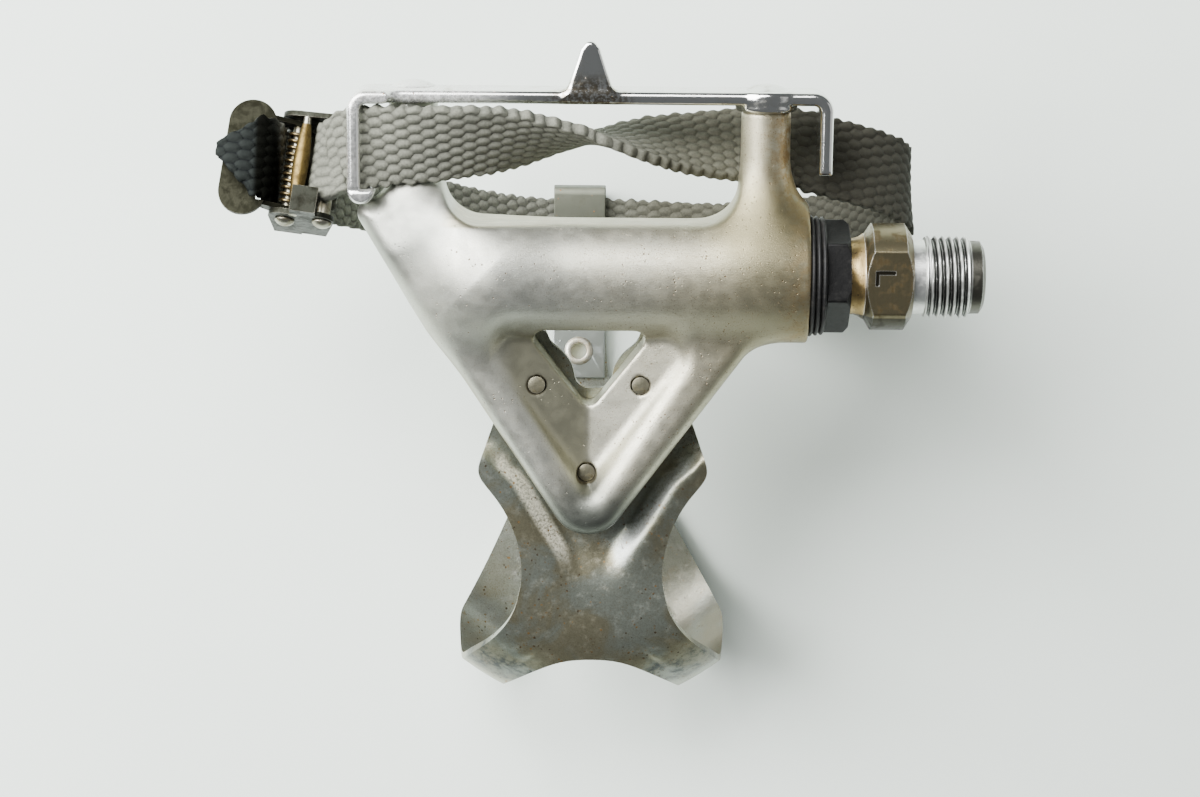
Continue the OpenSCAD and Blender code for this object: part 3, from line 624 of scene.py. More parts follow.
@dataclass(frozen=True)
class BrightChrome:
    """Bright chromed steel with hairline scratches, a yellow film and a few rust specks."""

    name: str = "plate_chrome"
    clean: Colour = (0.78, 0.785, 0.76)
    film: Colour = (0.4, 0.37, 0.27)
    rust: Colour = (0.3, 0.13, 0.045)
    rust_share: float = 0.06
    roughness: float = 0.14
    matt: float = 1.0
    under: Colour | None = None

    def make(self) -> Material:
        """Builds the material."""
        g = Graph(self.name)
        dirt = g.span(g.noise(0.22, 6, 0.65, 0.4), 0.5, 0.75)
        g.colour = g.mix(g.times(dirt, 0.55), self.clean, self.film)
        some = g.span(g.noise(0.3, 4), 0.62 - self.rust_share, 0.7 - self.rust_share)
        spots = g.times(g.span(g.cells(0.8), 0.16, 0.07), some)
        g.lay(self.rust, spots)
        base = g.times(g.near((-55.8, 30.5, 4), 2.5, 5.5, (0.6, 1, 1)), g.span(g.noise(1.4, 5, 0.7), 0.38, 0.56))
        g.lay((0.2, 0.15, 0.075), base, 0.8)
        if self.under is not None:
            g.lay(self.under, g.span(g.y, 2, -3))
        worn = g.span(g.noise(1.6, 4, 0.6), 0.36, 0.66, 1, 0.4)
        matt = g.times(g.span(g.x, -66, -80), worn, g.span(g.y, 25, 30, 0.45, 0.9), self.matt)
        hair = g.noise(4, 2, 0.5, 0, g.space((0.06, 1, 1), (0, 0, 8)))
        rough = g.math("ADD", g.span(dirt, 0, 1, self.roughness, self.roughness + 0.22), g.times(spots, 0.4))
        rough = g.math("ADD", rough, g.times(matt, 0.16))
        g.bump((hair, 0.006), (spots, 0.03), (g.noise(0.25, 2), 0.05))
        metal = g.math("SUBTRACT", g.span(spots, 0, 1, 1, 0.2), g.times(matt, 0.5), clamp=True)
        return g.close(Metallic=metal, Roughness=rough)


@dataclass(frozen=True)
class DulledChrome:
    """Old chromed sheet: blue-grey to olive-brown mottling, orange rust specks and dark stains, with painted
    reflections on the dish slopes, painted light on the left lobes and painted shade on the right lobes, the toe bend
    and the sheet below the V's nose.
    """

    blue: Colour = (0.33, 0.362, 0.31)
    olive: Colour = (0.29, 0.272, 0.18)
    light: Colour = (0.6, 0.61, 0.57)
    rust: Colour = (0.3, 0.17, 0.055)
    dark: Colour = (0.09, 0.08, 0.06)
    right_ear: Point = (-38.0, -29.0, -5.0)

    def make(self) -> Material:
        """Builds the material."""
        g = Graph("clip_chrome")
        mottle = g.span(g.noise(0.09, 6, 0.6, 0.6), 0.4, 0.6)
        g.colour = g.mix(mottle, self.blue, self.olive)
        veil = g.span(g.noise(0.6, 6, 0.7), 0.45, 0.75)
        g.lay(self.light, veil, 0.12)
        lobes = g.span(g.z, -11, -26)
        # Painted light: the lobes on the left, where the light from the left falls, are laid lighter.
        g.lay(self.light, lobes, g.span(g.x, -52, -60), 0.25)
        tongue = g.span(g.z, -38, -50)
        g.lay((0.5, 0.53, 0.52), tongue, 0.75)
        grain = g.noise(3.4, 5, 0.8)
        g.lay((0.16, 0.145, 0.1), g.span(grain, 0.4, 0.65, 0, 0.5))
        # Painted reflection: the dish slopes are laid pale and made less metallic, warm on the left and bluish-white on
        # the right.
        slope = g.times(g.span(g.kept("slope"), 0.15, 0.8), g.span(g.noise(2.4, 5, 0.8), 0.36, 0.56, 0.25, 1))
        painted_slope_reflection = g.mix(g.span(g.x, -58, -52), (0.78, 0.75, 0.6), (0.62, 0.66, 0.66))
        g.lay(painted_slope_reflection, slope, 0.85)
        group = g.span(g.noise(0.24, 5, 0.6), 0.47, 0.55)
        dots = g.times(g.span(g.cells(1.0), 0.3, 0.16), group, g.span(g.noise(1.3, 2), 0.42, 0.5))
        blot = g.times(g.span(g.noise(0.16, 4, 0.6), 0.6, 0.68), g.span(g.noise(0.9, 4, 0.7), 0.42, 0.58), lobes)
        g.lay((0.24, 0.17, 0.08), blot, 0.55)
        g.lay(g.mix(g.span(g.noise(0.5, 2), 0.42, 0.56), self.rust, (0.05, 0.028, 0.012)), dots, 0.85)
        # Painted shade: the upper part of the toe bend, turning away from view, is laid almost black.
        turn = g.times(g.span(g.y, -64, -69), g.span(g.z, -4, -6.5), g.span(g.z, -14.5, -11))
        g.lay((0.02, 0.024, 0.025), turn, g.span(g.noise(0.5, 5, 0.7), 0.3, 0.6, 1, 0.6))
        # Painted shadow: the right lobes, where the body and near plate cast shade, are darkened.
        right = g.times(lobes, g.span(g.x, -46, -40))
        g.lay((0.17, 0.17, 0.145), right, 0.7)
        # Painted shadow: the sheet below and right of the body's nose, where the body's shadow falls, is darkened.
        low_right = g.zone(x=(-52, -44), y=(-58, -50), z=(-8, -5))
        g.lay((0.16, 0.155, 0.11), low_right, 0.4)
        fine = g.times(g.span(g.noise(3.2, 3, 0.6), 0.6, 0.68), g.span(g.noise(0.3, 4), 0.45, 0.62))
        g.lay((0.2, 0.12, 0.05), fine, 0.7)
        ear = g.near(self.right_ear, 3, 9)
        crack = g.span(g.math("ABSOLUTE", g.math("SUBTRACT", g.noise(0.5, 6, 0.7, 1.0), 0.5)), 0.018, 0.006)
        g.lay(self.dark, crack, ear, 0.85)
        rough = g.math("ADD", g.span(veil, 0, 1, 0.3, 0.42), g.times(dots, 0.1))
        metal = g.math("SUBTRACT", 0.9, g.times(slope, 0.6), clamp=True)
        g.bump((g.noise(0.2, 3), 0.08), (g.noise(2.2, 5, 0.7), 0.014))
        return g.close(Metallic=metal, Roughness=rough)


@dataclass(frozen=True)
class WornSteel:
    """Plain steel with brown and gold dirt in its hollows and bright rubbed edges, and painted shade on the collar's
    lower side.
    """

    name: str = "spindle_steel"
    steel: Colour = (0.17, 0.15, 0.09)
    dirt: Colour = (0.09, 0.066, 0.03)
    bright: Colour = (0.74, 0.75, 0.72)
    dirt_share: float = 0.5
    roughness: float = 0.34
    thread: bool = False

    def make(self) -> Material:
        """Builds the material."""
        g = Graph(self.name)
        film = g.span(g.noise(0.45, 6, 0.65, 0.5), 0.62 - 0.3 * self.dirt_share, 0.8 - 0.3 * self.dirt_share)
        g.colour = g.mix(g.times(film, 0.9), self.steel, self.dirt)
        brushed = g.noise(2.5, 3, 0.6, 0, g.space((1, 0.12, 0.12)))
        g.lay((0.2, 0.16, 0.1), g.span(brushed, 0.4, 0.7, 0, 0.3))
        if self.thread:
            end = g.span(g.x, -0.2, 0.3)
            g.lay(self.bright, end)
            reach = g.math("SQRT", g.math("ADD", g.math("MULTIPLY", g.y, g.y), g.math("MULTIPLY", g.z, g.z)))
            groove = g.times(g.span(reach, 7.0, 6.72), g.span(g.x, 2.0, 2.4), g.span(g.x, 9.9, 9.6))
            g.lay((0.03, 0.03, 0.028), groove, 0.96)
            pilot = g.span(g.x, 9.8, 10.2)
            g.lay((0.07, 0.067, 0.05), pilot, 0.95)
            neck = g.times(g.span(g.x, -7.9, -8.6), 0.9)
            g.lay((0.42, 0.3, 0.13), neck)
            speck = g.times(g.span(g.cells(1.4), 0.2, 0.1), g.span(g.x, -7.9, -8.6))
            g.lay((0.05, 0.04, 0.03), speck)
        g.lay(self.bright, g.edges(0.3), 0.7)
        if self.thread:
            sunk = g.times(g.span(g.z, 7.48, 7.43), g.span(g.z, 6.90, 7.00), g.near((-5.0, 0.9, 7.5), 2.4, 2.6))
            g.lay((0.02, 0.017, 0.01), sunk, 0.9)
            # Painted shade: the collar's lower side, facing away from the light, is laid almost black.
            facet = g.zone(y=(-5.9, -6.3), x=(-0.3, -0.8))
            g.lay((0.018, 0.017, 0.011), facet, 0.9)
        rough = g.span(film, 0, 1, self.roughness, self.roughness + 0.18)
        g.bump((brushed, 0.012), (g.noise(1.2, 5, 0.7), 0.03))
        return g.close(Metallic=0.95, Roughness=rough)


@dataclass(frozen=True)
class Plastic:
    """Black moulded resin or rubber with dust and scuffed edges."""

    name: str
    base: Colour = (0.003, 0.003, 0.003)
    dust: Colour = (0.02, 0.019, 0.016)
    roughness: float = 0.42

    def make(self) -> Material:
        """Builds the material."""
        g = Graph(self.name)
        dust = g.span(g.noise(0.9, 6, 0.7), 0.48, 0.75)
        g.colour = g.mix(g.times(dust, 0.4), self.base, self.dust)
        g.lay((0.09, 0.088, 0.08), g.edges(0.25), 0.3)
        g.bump((g.noise(4, 4), 0.02), (g.noise(0.8, 2), 0.03))
        return g.close(Roughness=g.span(dust, 0, 1, self.roughness, 0.6), Metallic=0.0, Specular_IOR_Level=0.22)


@dataclass(frozen=True)
class Webbing:
    """Coarse grey cotton webbing, soiled brown and darker towards the crank, the darkening there partly painted shade
    where the strap runs deeper under the pedal, with painted shade in the gaps between threads and in the buckle's
    cavity.
    """

    pale: Colour = (0.2, 0.205, 0.165)
    grey: Colour = (0.1, 0.103, 0.085)
    brown: Colour = (0.066, 0.062, 0.04)
    soil_and_shade: Colour = (0.03, 0.029, 0.022)
    tail: Colour = (0.021, 0.024, 0.0225)

    def make(self) -> Material:
        """Builds the material."""
        g = Graph("strap_webbing")
        warp = g.noise(0.8, 3)
        across = g.math("ADD", g.kept("across_threads"), g.math("MULTIPLY", warp, 0.12))
        along = g.math("ADD", g.kept("along_threads"), g.math("MULTIPLY", g.noise(0.6, 3), 0.12))
        height = g.pointed_bumps(across, along)
        g.colour = g.mix(g.span(height, 0.1, 0.8), self.grey, self.pale)
        patch = g.span(g.noise(0.12, 6, 0.6, 0.5), 0.4, 0.7)
        g.lay(self.grey, patch, 0.35)
        # Darker towards the crank: brown soil, and painted shade where the strap runs deeper under the arm and the cage
        # plate.
        dark = g.span(g.x, -58, -40)
        g.lay(self.brown, dark, 0.7)
        darker = g.span(g.x, -27, -18)
        g.lay(self.soil_and_shade, darker, 0.72)
        fibres = g.noise(2.6, 5, 0.75)
        g.lay(self.soil_and_shade, g.span(fibres, 0.35, 0.7, 0, 0.4))
        # Painted shade: the gaps between the raised threads are laid almost black.
        groove = g.span(height, 0.3, 0.0)
        g.lay((0.012, 0.012, 0.01), groove, 0.9)
        # The strap's end takes its own dark tail colour, with painted shade almost black in the gaps between threads.
        end = g.zone(x=(-107.5, -109.5), z=(-4, 0))
        g.lay(g.mix(g.span(height, 0, 0.7), (0.008, 0.009, 0.01), self.tail), end)
        # Painted shade: the strap where it rises inside the buckle's cavity is laid almost black.
        hollow = g.times(end, g.span(g.x, -113.4, -112.4))
        g.lay((0.004, 0.004, 0.003), hollow, 0.92)
        g.bump((height, 0.5), (fibres, 0.14), (g.noise(7, 3), 0.04))
        return g.close(Roughness=0.92, Metallic=0.0, Specular_IOR_Level=g.span(end, 0, 1, 0.3, 0))


@dataclass(frozen=True)
class Plated:
    """Small plated metal piece with tarnish: olive nickel, brass or golden wire."""

    name: str
    base: Colour
    tarnish: Colour
    bright: Colour
    roughness: float = 0.3

    def make(self) -> Material:
        """Builds the material."""
        g = Graph(self.name)
        film = g.span(g.noise(0.5, 6, 0.65, 0.5), 0.4, 0.68)
        g.colour = g.mix(film, self.base, self.tarnish)
        fine = g.noise(3, 4, 0.7)
        g.lay(self.tarnish, g.span(fine, 0.5, 0.8, 0, 0.5))
        g.lay(self.bright, g.edges(0.1), 0.3)
        g.bump((fine, 0.02), (g.noise(0.7, 2), 0.05))
        return g.close(Metallic=0.95, Roughness=g.span(film, 0, 1, self.roughness, self.roughness + 0.16))


@dataclass(frozen=True)
class Paper:
    """Matt pale table top under the pedal."""

    tone: Colour = (0.86, 0.945, 0.87)

    def make(self) -> Material:
        """Builds the material."""
        g = Graph("table_top")
        g.colour = g.mix(g.span(g.noise(0.02, 3), 0.3, 0.7), self.tone, tuple(0.97 * c for c in self.tone))
        return g.close(Roughness=0.8, Metallic=0.0)


class Finishes:
    """All finishes of the object, made once."""

    def __init__(self) -> None:
        """Builds every material."""
        self.casting = CastAluminium().make()
        self.plate = BrightChrome().make()
        self.cage_screw = BrightChrome(name="cage_screw_chrome", roughness=0.2, rust_share=0.1).make()
        self.clip = DulledChrome().make()
        self.loop = BrightChrome(
            name="loop_chrome", clean=(0.11, 0.115, 0.09), film=(0.08, 0.078, 0.055),
            roughness=0.36, rust_share=0.1, matt=0.0, under=(0.4, 0.425, 0.42),
        ).make()
        self.spindle = WornSteel(thread=True).make()
        self.bearing = WornSteel(name="bearing_steel", steel=(0.55, 0.54, 0.5), dirt_share=0.2, roughness=0.2).make()
        self.screw = WornSteel(
            name="clip_screw_steel", steel=(0.4, 0.38, 0.27), bright=(0.5, 0.48, 0.38), dirt=(0.16, 0.14, 0.08)
        ).make()
        self.backing = Plated("backing_zinc", (0.36, 0.32, 0.2), (0.2, 0.16, 0.08), (0.7, 0.64, 0.46), 0.4).make()
        self.resin = Plastic("black_resin").make()
        self.rubber = Plastic("seal_rubber", (0.01, 0.01, 0.01), (0.06, 0.055, 0.047), 0.5).make()
        self.webbing = Webbing().make()
        self.buckle, self.lever, self.brass, self.wire, self.rivet, self.eyelet = (
            Plated(*values).make()
            for values in (
                ("buckle_nickel", (0.021, 0.022, 0.017), (0.012, 0.012, 0.008), (0.4, 0.38, 0.3), 0.42),
                ("lever_nickel", (0.02, 0.02, 0.013), (0.012, 0.012, 0.007), (0.3, 0.28, 0.2), 0.46),
                ("roller_brass", (0.17, 0.12, 0.04), (0.09, 0.062, 0.022), (0.6, 0.48, 0.26), 0.42),
                ("spring_steel", (0.3, 0.23, 0.11), (0.12, 0.09, 0.045), (0.7, 0.6, 0.38), 0.3),
                ("rivet_nickel", (0.34, 0.33, 0.27), (0.18, 0.16, 0.1), (0.75, 0.73, 0.64), 0.3),
                ("eyelet_nickel", (0.8, 0.77, 0.68), (0.52, 0.44, 0.3), (0.9, 0.88, 0.8), 0.42),
            )
        )


@dataclass
class Piecework:
    """Shared steps for sub-assemblies: dress a CAD node, or set a new piece in its place."""

    finishes: Finishes

    def dress(self, node: str, material: Material) -> None:
        """Gives a CAD node that keeps its shape a new material."""
        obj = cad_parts[node]
        obj.data.materials.clear()
        obj.data.materials.append(material)
        LOG.info("dressed %s", node)

    def stand_in(
        self, obj: Piece, node: str, slot: str, material: Material, body: Body = Body.PEDAL
    ) -> None:
        """Sets a finished piece in the place of a CAD node.

        Args:
            obj: Finished piece, at the origin.
            node: CAD node that it stands for.
            slot: Not used.
            material: Its material.
            body: Body that it moves with.
        """
        obj.data.materials.clear()
        obj.data.materials.append(material)
        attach(obj, body.value)
        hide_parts(node)
        LOG.info("%s stands for %s with %d faces", obj.name, node, len(obj.data.polygons))

    def rounded(
        self, node: str, name: str, slot: str, material: Material, edge: tuple, body: Body = Body.PEDAL
    ) -> None:
        """Sets a copy of a CAD node, with its edges rounded, in the node's place.

        Args:
            node: CAD node to copy.
            name: Name of the copy.
            slot: Not used.
            material: Its material.
            edge: Width, steps and least angle of the bevel, as bevelled takes them.
            body: Body that it moves with.
        """
        self.stand_in(bevelled(merged_copy(node, name), *edge), node, slot, material, body)


@dataclass
class SpindleUnit(Piecework):
    """Spindle, cone and locknut, and the two rings of balls."""

    pitch: float = 1.27
    thread_depth: float = 0.72
    thread_from: float = 2.1
    thread_to: float = 9.7
    collar_r: float = 9.25
    collar_len: float = 8.3
    half_flats: float = 7.5
    stamp_depth: float = 0.22
    around: int = 384

    def profile(self, x: float) -> float:
        """Plain radius of the spindle at X, without the thread and the flats."""
        outline = [
            (-76, 3), (-66.01, 3), (-66, 3.75), (-14.2, 3.75), (-14.19, 6.9), (-10.81, 6.9), (-10.8, 6.6),
            (-10.0, 6.62), (-9.2, 6.86), (-8.31, 7.45),
            (-8.3, 7.25), (-7, self.collar_r), (-1.3, self.collar_r), (0, 7.25),
            (0.01, 6.45), (2.1, 6.45), (2.3, 7.1), (9.5, 7.1), (9.9, 6.35), (11.8, 6.3), (12.4, 5.3),
        ]
        xs, rs = zip(*outline)
        return float(np.interp(x, xs, rs))

    def stamped(self, x: float, y: float) -> bool:
        """Whether a point of the upper flat is inside the stamped side mark."""
        long_stroke = -6.7 < x < -3.4 and 1.6 < y < 2.1
        short_stroke = -6.7 < x < -6.15 and -0.4 < y < 2.1
        return long_stroke or short_stroke

    def radius(self, x: float, a: float) -> float:
        """Radius of the finished spindle at X and an angle from +Z."""
        r = self.profile(x)
        if self.thread_from <= x <= self.thread_to:
            fade = min(1.0, (x - self.thread_from) / 0.9, (self.thread_to - x) / 0.9)
            turn = (x / self.pitch + a / (2 * math.pi)) % 1.0
            ridge = abs(2 * turn - 1)
            r -= self.thread_depth * fade * min(1.0, max(0.0, ridge * 1.25 - 0.12))
        if -self.collar_len <= x <= 0:
            across = abs(math.cos(a))
            if across > 1e-6 and self.half_flats / across < r:
                r = self.half_flats / across
                if math.cos(a) > 0 and self.stamped(x, r * math.sin(a)):
                    r -= self.stamp_depth / across
        return r

    def build(self) -> None:
        """Builds the spindle, and the balls, and dresses the cone and nut."""
        fine = np.arange(-8.3, 0.001, 0.1)
        thread = np.arange(0.012, 12.4, 0.09)
        stations = [-76, -66.01, -66, -40, -14.2, -14.19, -12.5, -10.81, -10.8, -10.4, -10, -9.6]
        stations += [-9.2, -8.8, -8.5, -8.31]
        stations += list(fine) + list(thread) + [12.4]
        points, faces = lathe_grid(stations, self.around, self.radius)
        spindle = mesh_object("spindle_with_thread", points, faces)
        spindle.data.set_sharp_from_angle(angle=math.radians(28))
        self.stand_in(spindle, "spindle", "spindle_steel", self.finishes.spindle, Body.SPINDLE)
        self.dress("inner_cone", self.finishes.bearing)
        self.dress("cone_locknut", self.finishes.bearing)
        self.balls("outer_balls", -30.0, Body.OUTER_RING)
        self.balls("inner_balls", -66.0, Body.INNER_RING)

    def balls(self, node: str, x: float, body: Body) -> None:
        """Makes one ring of bearing balls in place of its CAD node.

        Args:
            node: CAD node of the ring.
            x: X of the ring's plane.
            body: Body that the ring moves with.
        """
        recipe = Recipe(node + "_ring", {"Ring radius": 4.98 * MM, "Ball radius": 1.19 * MM, "Place": x * MM})
        ring = recipe.node(":MeshCircle", {"Vertices": 12, "Radius": recipe.size("Ring radius")})
        ball = recipe.node(":MeshIcoSphere", {"Radius": recipe.size("Ball radius"), "Subdivisions": 4})
        placed = recipe.node(":InstanceOnPoints", {"Points": ring.outputs[0], "Instance": ball.outputs[0]})
        shift = recipe.node("ShaderNodeCombineXYZ", {0: recipe.size("Place")})
        turn = (0, math.pi / 2, 0)
        turned = recipe.node(
            ":Transform", {"Geometry": placed.outputs[0], "Rotation": turn, "Translation": shift.outputs[0]}
        )
        host = mesh_object(node + "_polished", np.zeros((3, 3)), [])
        recipe.run(host, turned.outputs[0], self.finishes.bearing)
        self.stand_in(host, node, "bearing_steel", self.finishes.bearing, body)


@dataclass
class Casting:
    """Field of the one-piece cast body, with the soft blends of a casting and its cut openings."""

    end_x: float = -17.9
    barrel_r: float = 10.5
    vee_x: float = -55.6
    tip: Point = (-55.6, -39.4, 6.6)
    seat_z: float = -5.0
    top_z: float = 5.5
    posts: Pairs = ((-86.2, -2.8), (-25.6, 0.0))
    post_r: float = 4.25
    post_top: float = 29.8
    bore: tuple[float, float] = (7.5, -78.5)
    step: float = 0.44

    def outline(self) -> list[tuple[float, float]]:
        """Plan outline of the V and its left web, anticlockwise."""
        tx, ty, tr = self.tip
        return (
            arc(-93.7, 10.4, 2.1, 100, 213)
            + arc(tx, ty, tr, 213, 321, 24)
            + arc(-21.4, -20.1, 9.5, 141, 90, 16)
            + [(self.end_x + 2, -10.6), (self.end_x + 2, 0), (-40, 2), (-70, 6), (-81.5, 13.5), (-90.5, 13.8)]
        )

    def dish_outline(self, half: float, top: float, low: float, r: float, r_low: float) -> list[tuple[float, float]]:
        """Rounded triangle in plan, point down, about the centre line of the V."""
        lean = math.degrees(math.atan2(half - r_low, top - low - r - r_low))
        cx = self.vee_x
        return (
            arc(cx - half + r, top - r, r, 90, 180 + lean)
            + arc(cx, low + r_low, r_low, 180 + lean, 360 - lean)
            + arc(cx + half - r, top - r, r, -lean, 90)
        )

    def gap(self, x: Array, y: Array) -> Array:
        """Field of the gap between the posts: a slot with rounded lower corners, open at the top."""
        left, right, floor, r = -80.6, -30.2, 9.3, 6.5
        return rounded_block(np.abs(x - (left + right) / 2) - (right - left) / 2, floor - y, r)

    def field(self, x: Array, y: Array, z: Array) -> Array:
        """Field of the finished casting."""
        across = np.hypot(y, z)
        barrel = rod(x, y, z, (-71, 0, 0), (10, 0, 0), self.barrel_r, self.barrel_r)
        corner = np.clip((y - 0.55 * (x + 93)) / 12 - 0.1, 0, 1)
        thick = 5.4 - 2.6 * corner * corner * (3 - 2 * corner)
        vee = rounded_block(polygon_field(x, y, self.outline()), np.abs(z - (self.top_z - 5.4)) - thick, 3.4)
        (lx, lz), (rx, rz) = self.posts
        arm = rod(x, y, z, (lx, 12, lz), (lx, 40, lz), self.post_r, self.post_r)
        root = rod(x, y, z, (lx + 0.4, 12.5, lz + 0.3), (-73, 0, 0), 3.9, 8.4)
        post = rod(x, y, z, (rx, 4, rz), (rx, 40, rz), self.post_r, self.post_r)
        web_fillet = 3.8 + 4 * np.clip((-66 - x) / 12, 0, 1)
        body = barrel
        for part, fillet in ((root, 9.0), (vee, web_fillet), (arm, 4.0), (post, 11.0)):
            body = blend_min(body, part, fillet)
        top = self.post_top - 1.2 * (x > -50)
        ends = np.maximum(y - top, x - self.end_x)
        side_hollow = 6.5 - np.hypot(x + 95.9, y - 18.9)
        seat = np.maximum(z - self.seat_z, y + 8.5)
        facets = 0.65 + 0.2125 * np.abs(x - self.vee_x) - z
        dish = polygon_field(x, y, self.dish_outline(15.5, -10.5, -38.2, 3.2, 1.3)) - 0.6 * (z - 3.4)
        dish = blend_max(facets * 0.97, dish * 0.86, 1.0)
        window = polygon_field(x, y, self.dish_outline(9.6, -9.1, -23.1, 2.0, 1.9))
        for outside, edge in (
            (ends, 0.6), (-self.gap(x, y), 0.7), (side_hollow, 0.8), (-seat, 0.5), (-dish, 2.0), (-window, 0.5)
        ):
            body = blend_max(body, outside, edge)
        for sx, sy in CLIP_SCREWS:
            body = np.maximum(body, 1.6 - np.hypot(x - sx, y - sy))
        bore = np.maximum(across - self.bore[0], self.bore[1] - x)
        return blend_max(body, -bore, 0.4)

    def build(self) -> Piece:
        """Builds the casting's mesh."""
        points, quads = net_surface(self.field, (-99, -47.5, -11.5), (-17, 31, 11.5), self.step)
        body = mesh_object("body_casting", points, quads)
        body.data.set_sharp_from_angle(angle=math.radians(50))
        return body


@dataclass
class PedalBody(Piecework):
    """Cast body, its bearing sleeve, the black lock bolt and the ribbed seal."""

    seal_r: float = 10.55
    seal_ribs: int = 3

    def build(self) -> None:
        """Builds the casting with soft blends, the bolt and the seal."""
        self.stand_in(Casting().build(), "pedal_body", "cast_aluminium", self.finishes.casting)
        self.dress("bearing_sleeve", self.finishes.bearing)
        self.rounded("lock_bolt", "lock_bolt_moulded", "black_resin", self.finishes.resin, (0.35, 3, 28))
        self.seal()

    def seal(self) -> None:
        """Builds the seal ring with raised lips between the body and the bolt."""
        x0, x1 = -17.9, -15.0
        stations = np.linspace(x0, x1, 45)
        outline = []
        for x in stations:
            t = (x - x0) / (x1 - x0)
            lip = abs(math.sin(math.pi * self.seal_ribs * t))
            outline.append((x, self.seal_r - 0.75 + 0.75 * lip ** 0.6 - 0.35 * t))
        outline += [(x1, 7.5), (x0, 7.5)]
        around = 160
        points = [ring_point(x, r, 2 * math.pi * k / around) for x, r in outline for k in range(around)]
        n = len(outline)
        faces = [face for i in range(n) for face in ring_faces(i, (i + 1) % n, around)]
        seal = mesh_object("seal_ring", np.array(points), faces)
        seal.data.set_sharp_from_angle(angle=math.radians(50))
        self.stand_in(seal, "dust_seal", "seal_rubber", self.finishes.rubber)


@dataclass
class PlateBand:
    """Field of the chromed cage plate: a bent band with two guides, screw lobes and the pick-up tab."""

    ends: tuple[float, float] = (-97.0, -14.3)
    inner_y: float = 29.8
    thick: float = 2.3
    bend: float = 3.4
    feet: tuple[float, float] = (15.0, 18.0)
    posts: Pairs = ((-86.2, -2.4), (-25.6, 0.4))
    lobe_r: float = 5.3
    rim: float = 1.02
    step: float = 0.3

    def plan(self, x: Array, y: Array) -> Array:
        """Field of the band seen along Z, with its curled foot."""
        middle, half = sum(self.ends) / 2, (self.ends[1] - self.ends[0]) / 2
        outer = rounded_block(np.abs(x - middle) - half, y - self.inner_y - self.thick, self.bend)
        band = np.abs(outer + self.thick / 2) - self.thick / 2
        band = np.maximum(band, np.where(x < middle, self.feet[0] - y, self.feet[1] - y))
        curl = np.hypot(x - self.ends[0] - self.thick, y - self.feet[0]) - self.thick
        foot = np.maximum(curl, y - self.feet[0] - 0.3)
        return np.minimum(band, foot)

    def depth(self, x: Array, z: Array) -> Array:
        """Field of the band seen along Y, with a lobe at each post."""
        flat = blend_min(np.abs(z + 0.3) - 5.1, np.maximum(np.abs(z - 0.7) - 6.1, x + 90), 2.5)
        for px, pz in self.posts:
            flat = blend_min(flat, np.hypot(x - px, z - pz) - self.lobe_r, 0.8)
        return flat

    def field(self, x: Array, y: Array, z: Array) -> Array:
        """Field of the finished plate."""
        band = rounded_block(self.plan(x, y), self.depth(x, z), self.rim)
        low = self.inner_y + 1
        outline = [(-60.2, low), (-51.4, low), (-54.2, 39.4), *arc(-55.8, 39.2, 1.35, 20, 160, 9), (-57.4, 39.4)]
        tab = rounded_block(polygon_field(x, y, outline), np.abs(z - 3.55) - 1.25, 0.7)
        band = blend_min(band, tab, 1.4)
        px, pz = self.posts[1]
        boss = rounded_block(np.hypot(x - px, z - pz) - self.lobe_r, np.abs(y - 30.35) - 1.75, 0.7)
        band = blend_min(band, boss, 0.6)
        left = box_field(x, y, z, (-99, 14.4, 0.1), (-93.7, 29.6, 5.6))
        right = box_field(x, y, z, (-18.6, 14.4, -12), (-12, 29.6, -4))
        band = blend_max(band, -np.minimum(left, right), 0.4)
        for px, pz in self.posts:
            band = np.maximum(band, 2.1 - np.hypot(x - px, z - pz + 0.4))
        return band


@dataclass
class Cage(Piecework):
    """Chromed cage plate and its two low screws."""

    def build(self) -> None:
        """Builds the plate with rounded edges and the screws."""
        band = PlateBand()
        points, quads = net_surface(band.field, (-98.5, 11.8, -6.5), (-12.5, 42, 8), band.step)
        plate = mesh_object("cage_plate_pressed", points, quads)
        self.stand_in(plate, "cage_plate", "plate_chrome", self.finishes.plate)
        self.rounded("cage_screws", "cage_screws_turned", "plate_chrome", self.finishes.cage_screw, (0.15, 2, 40))


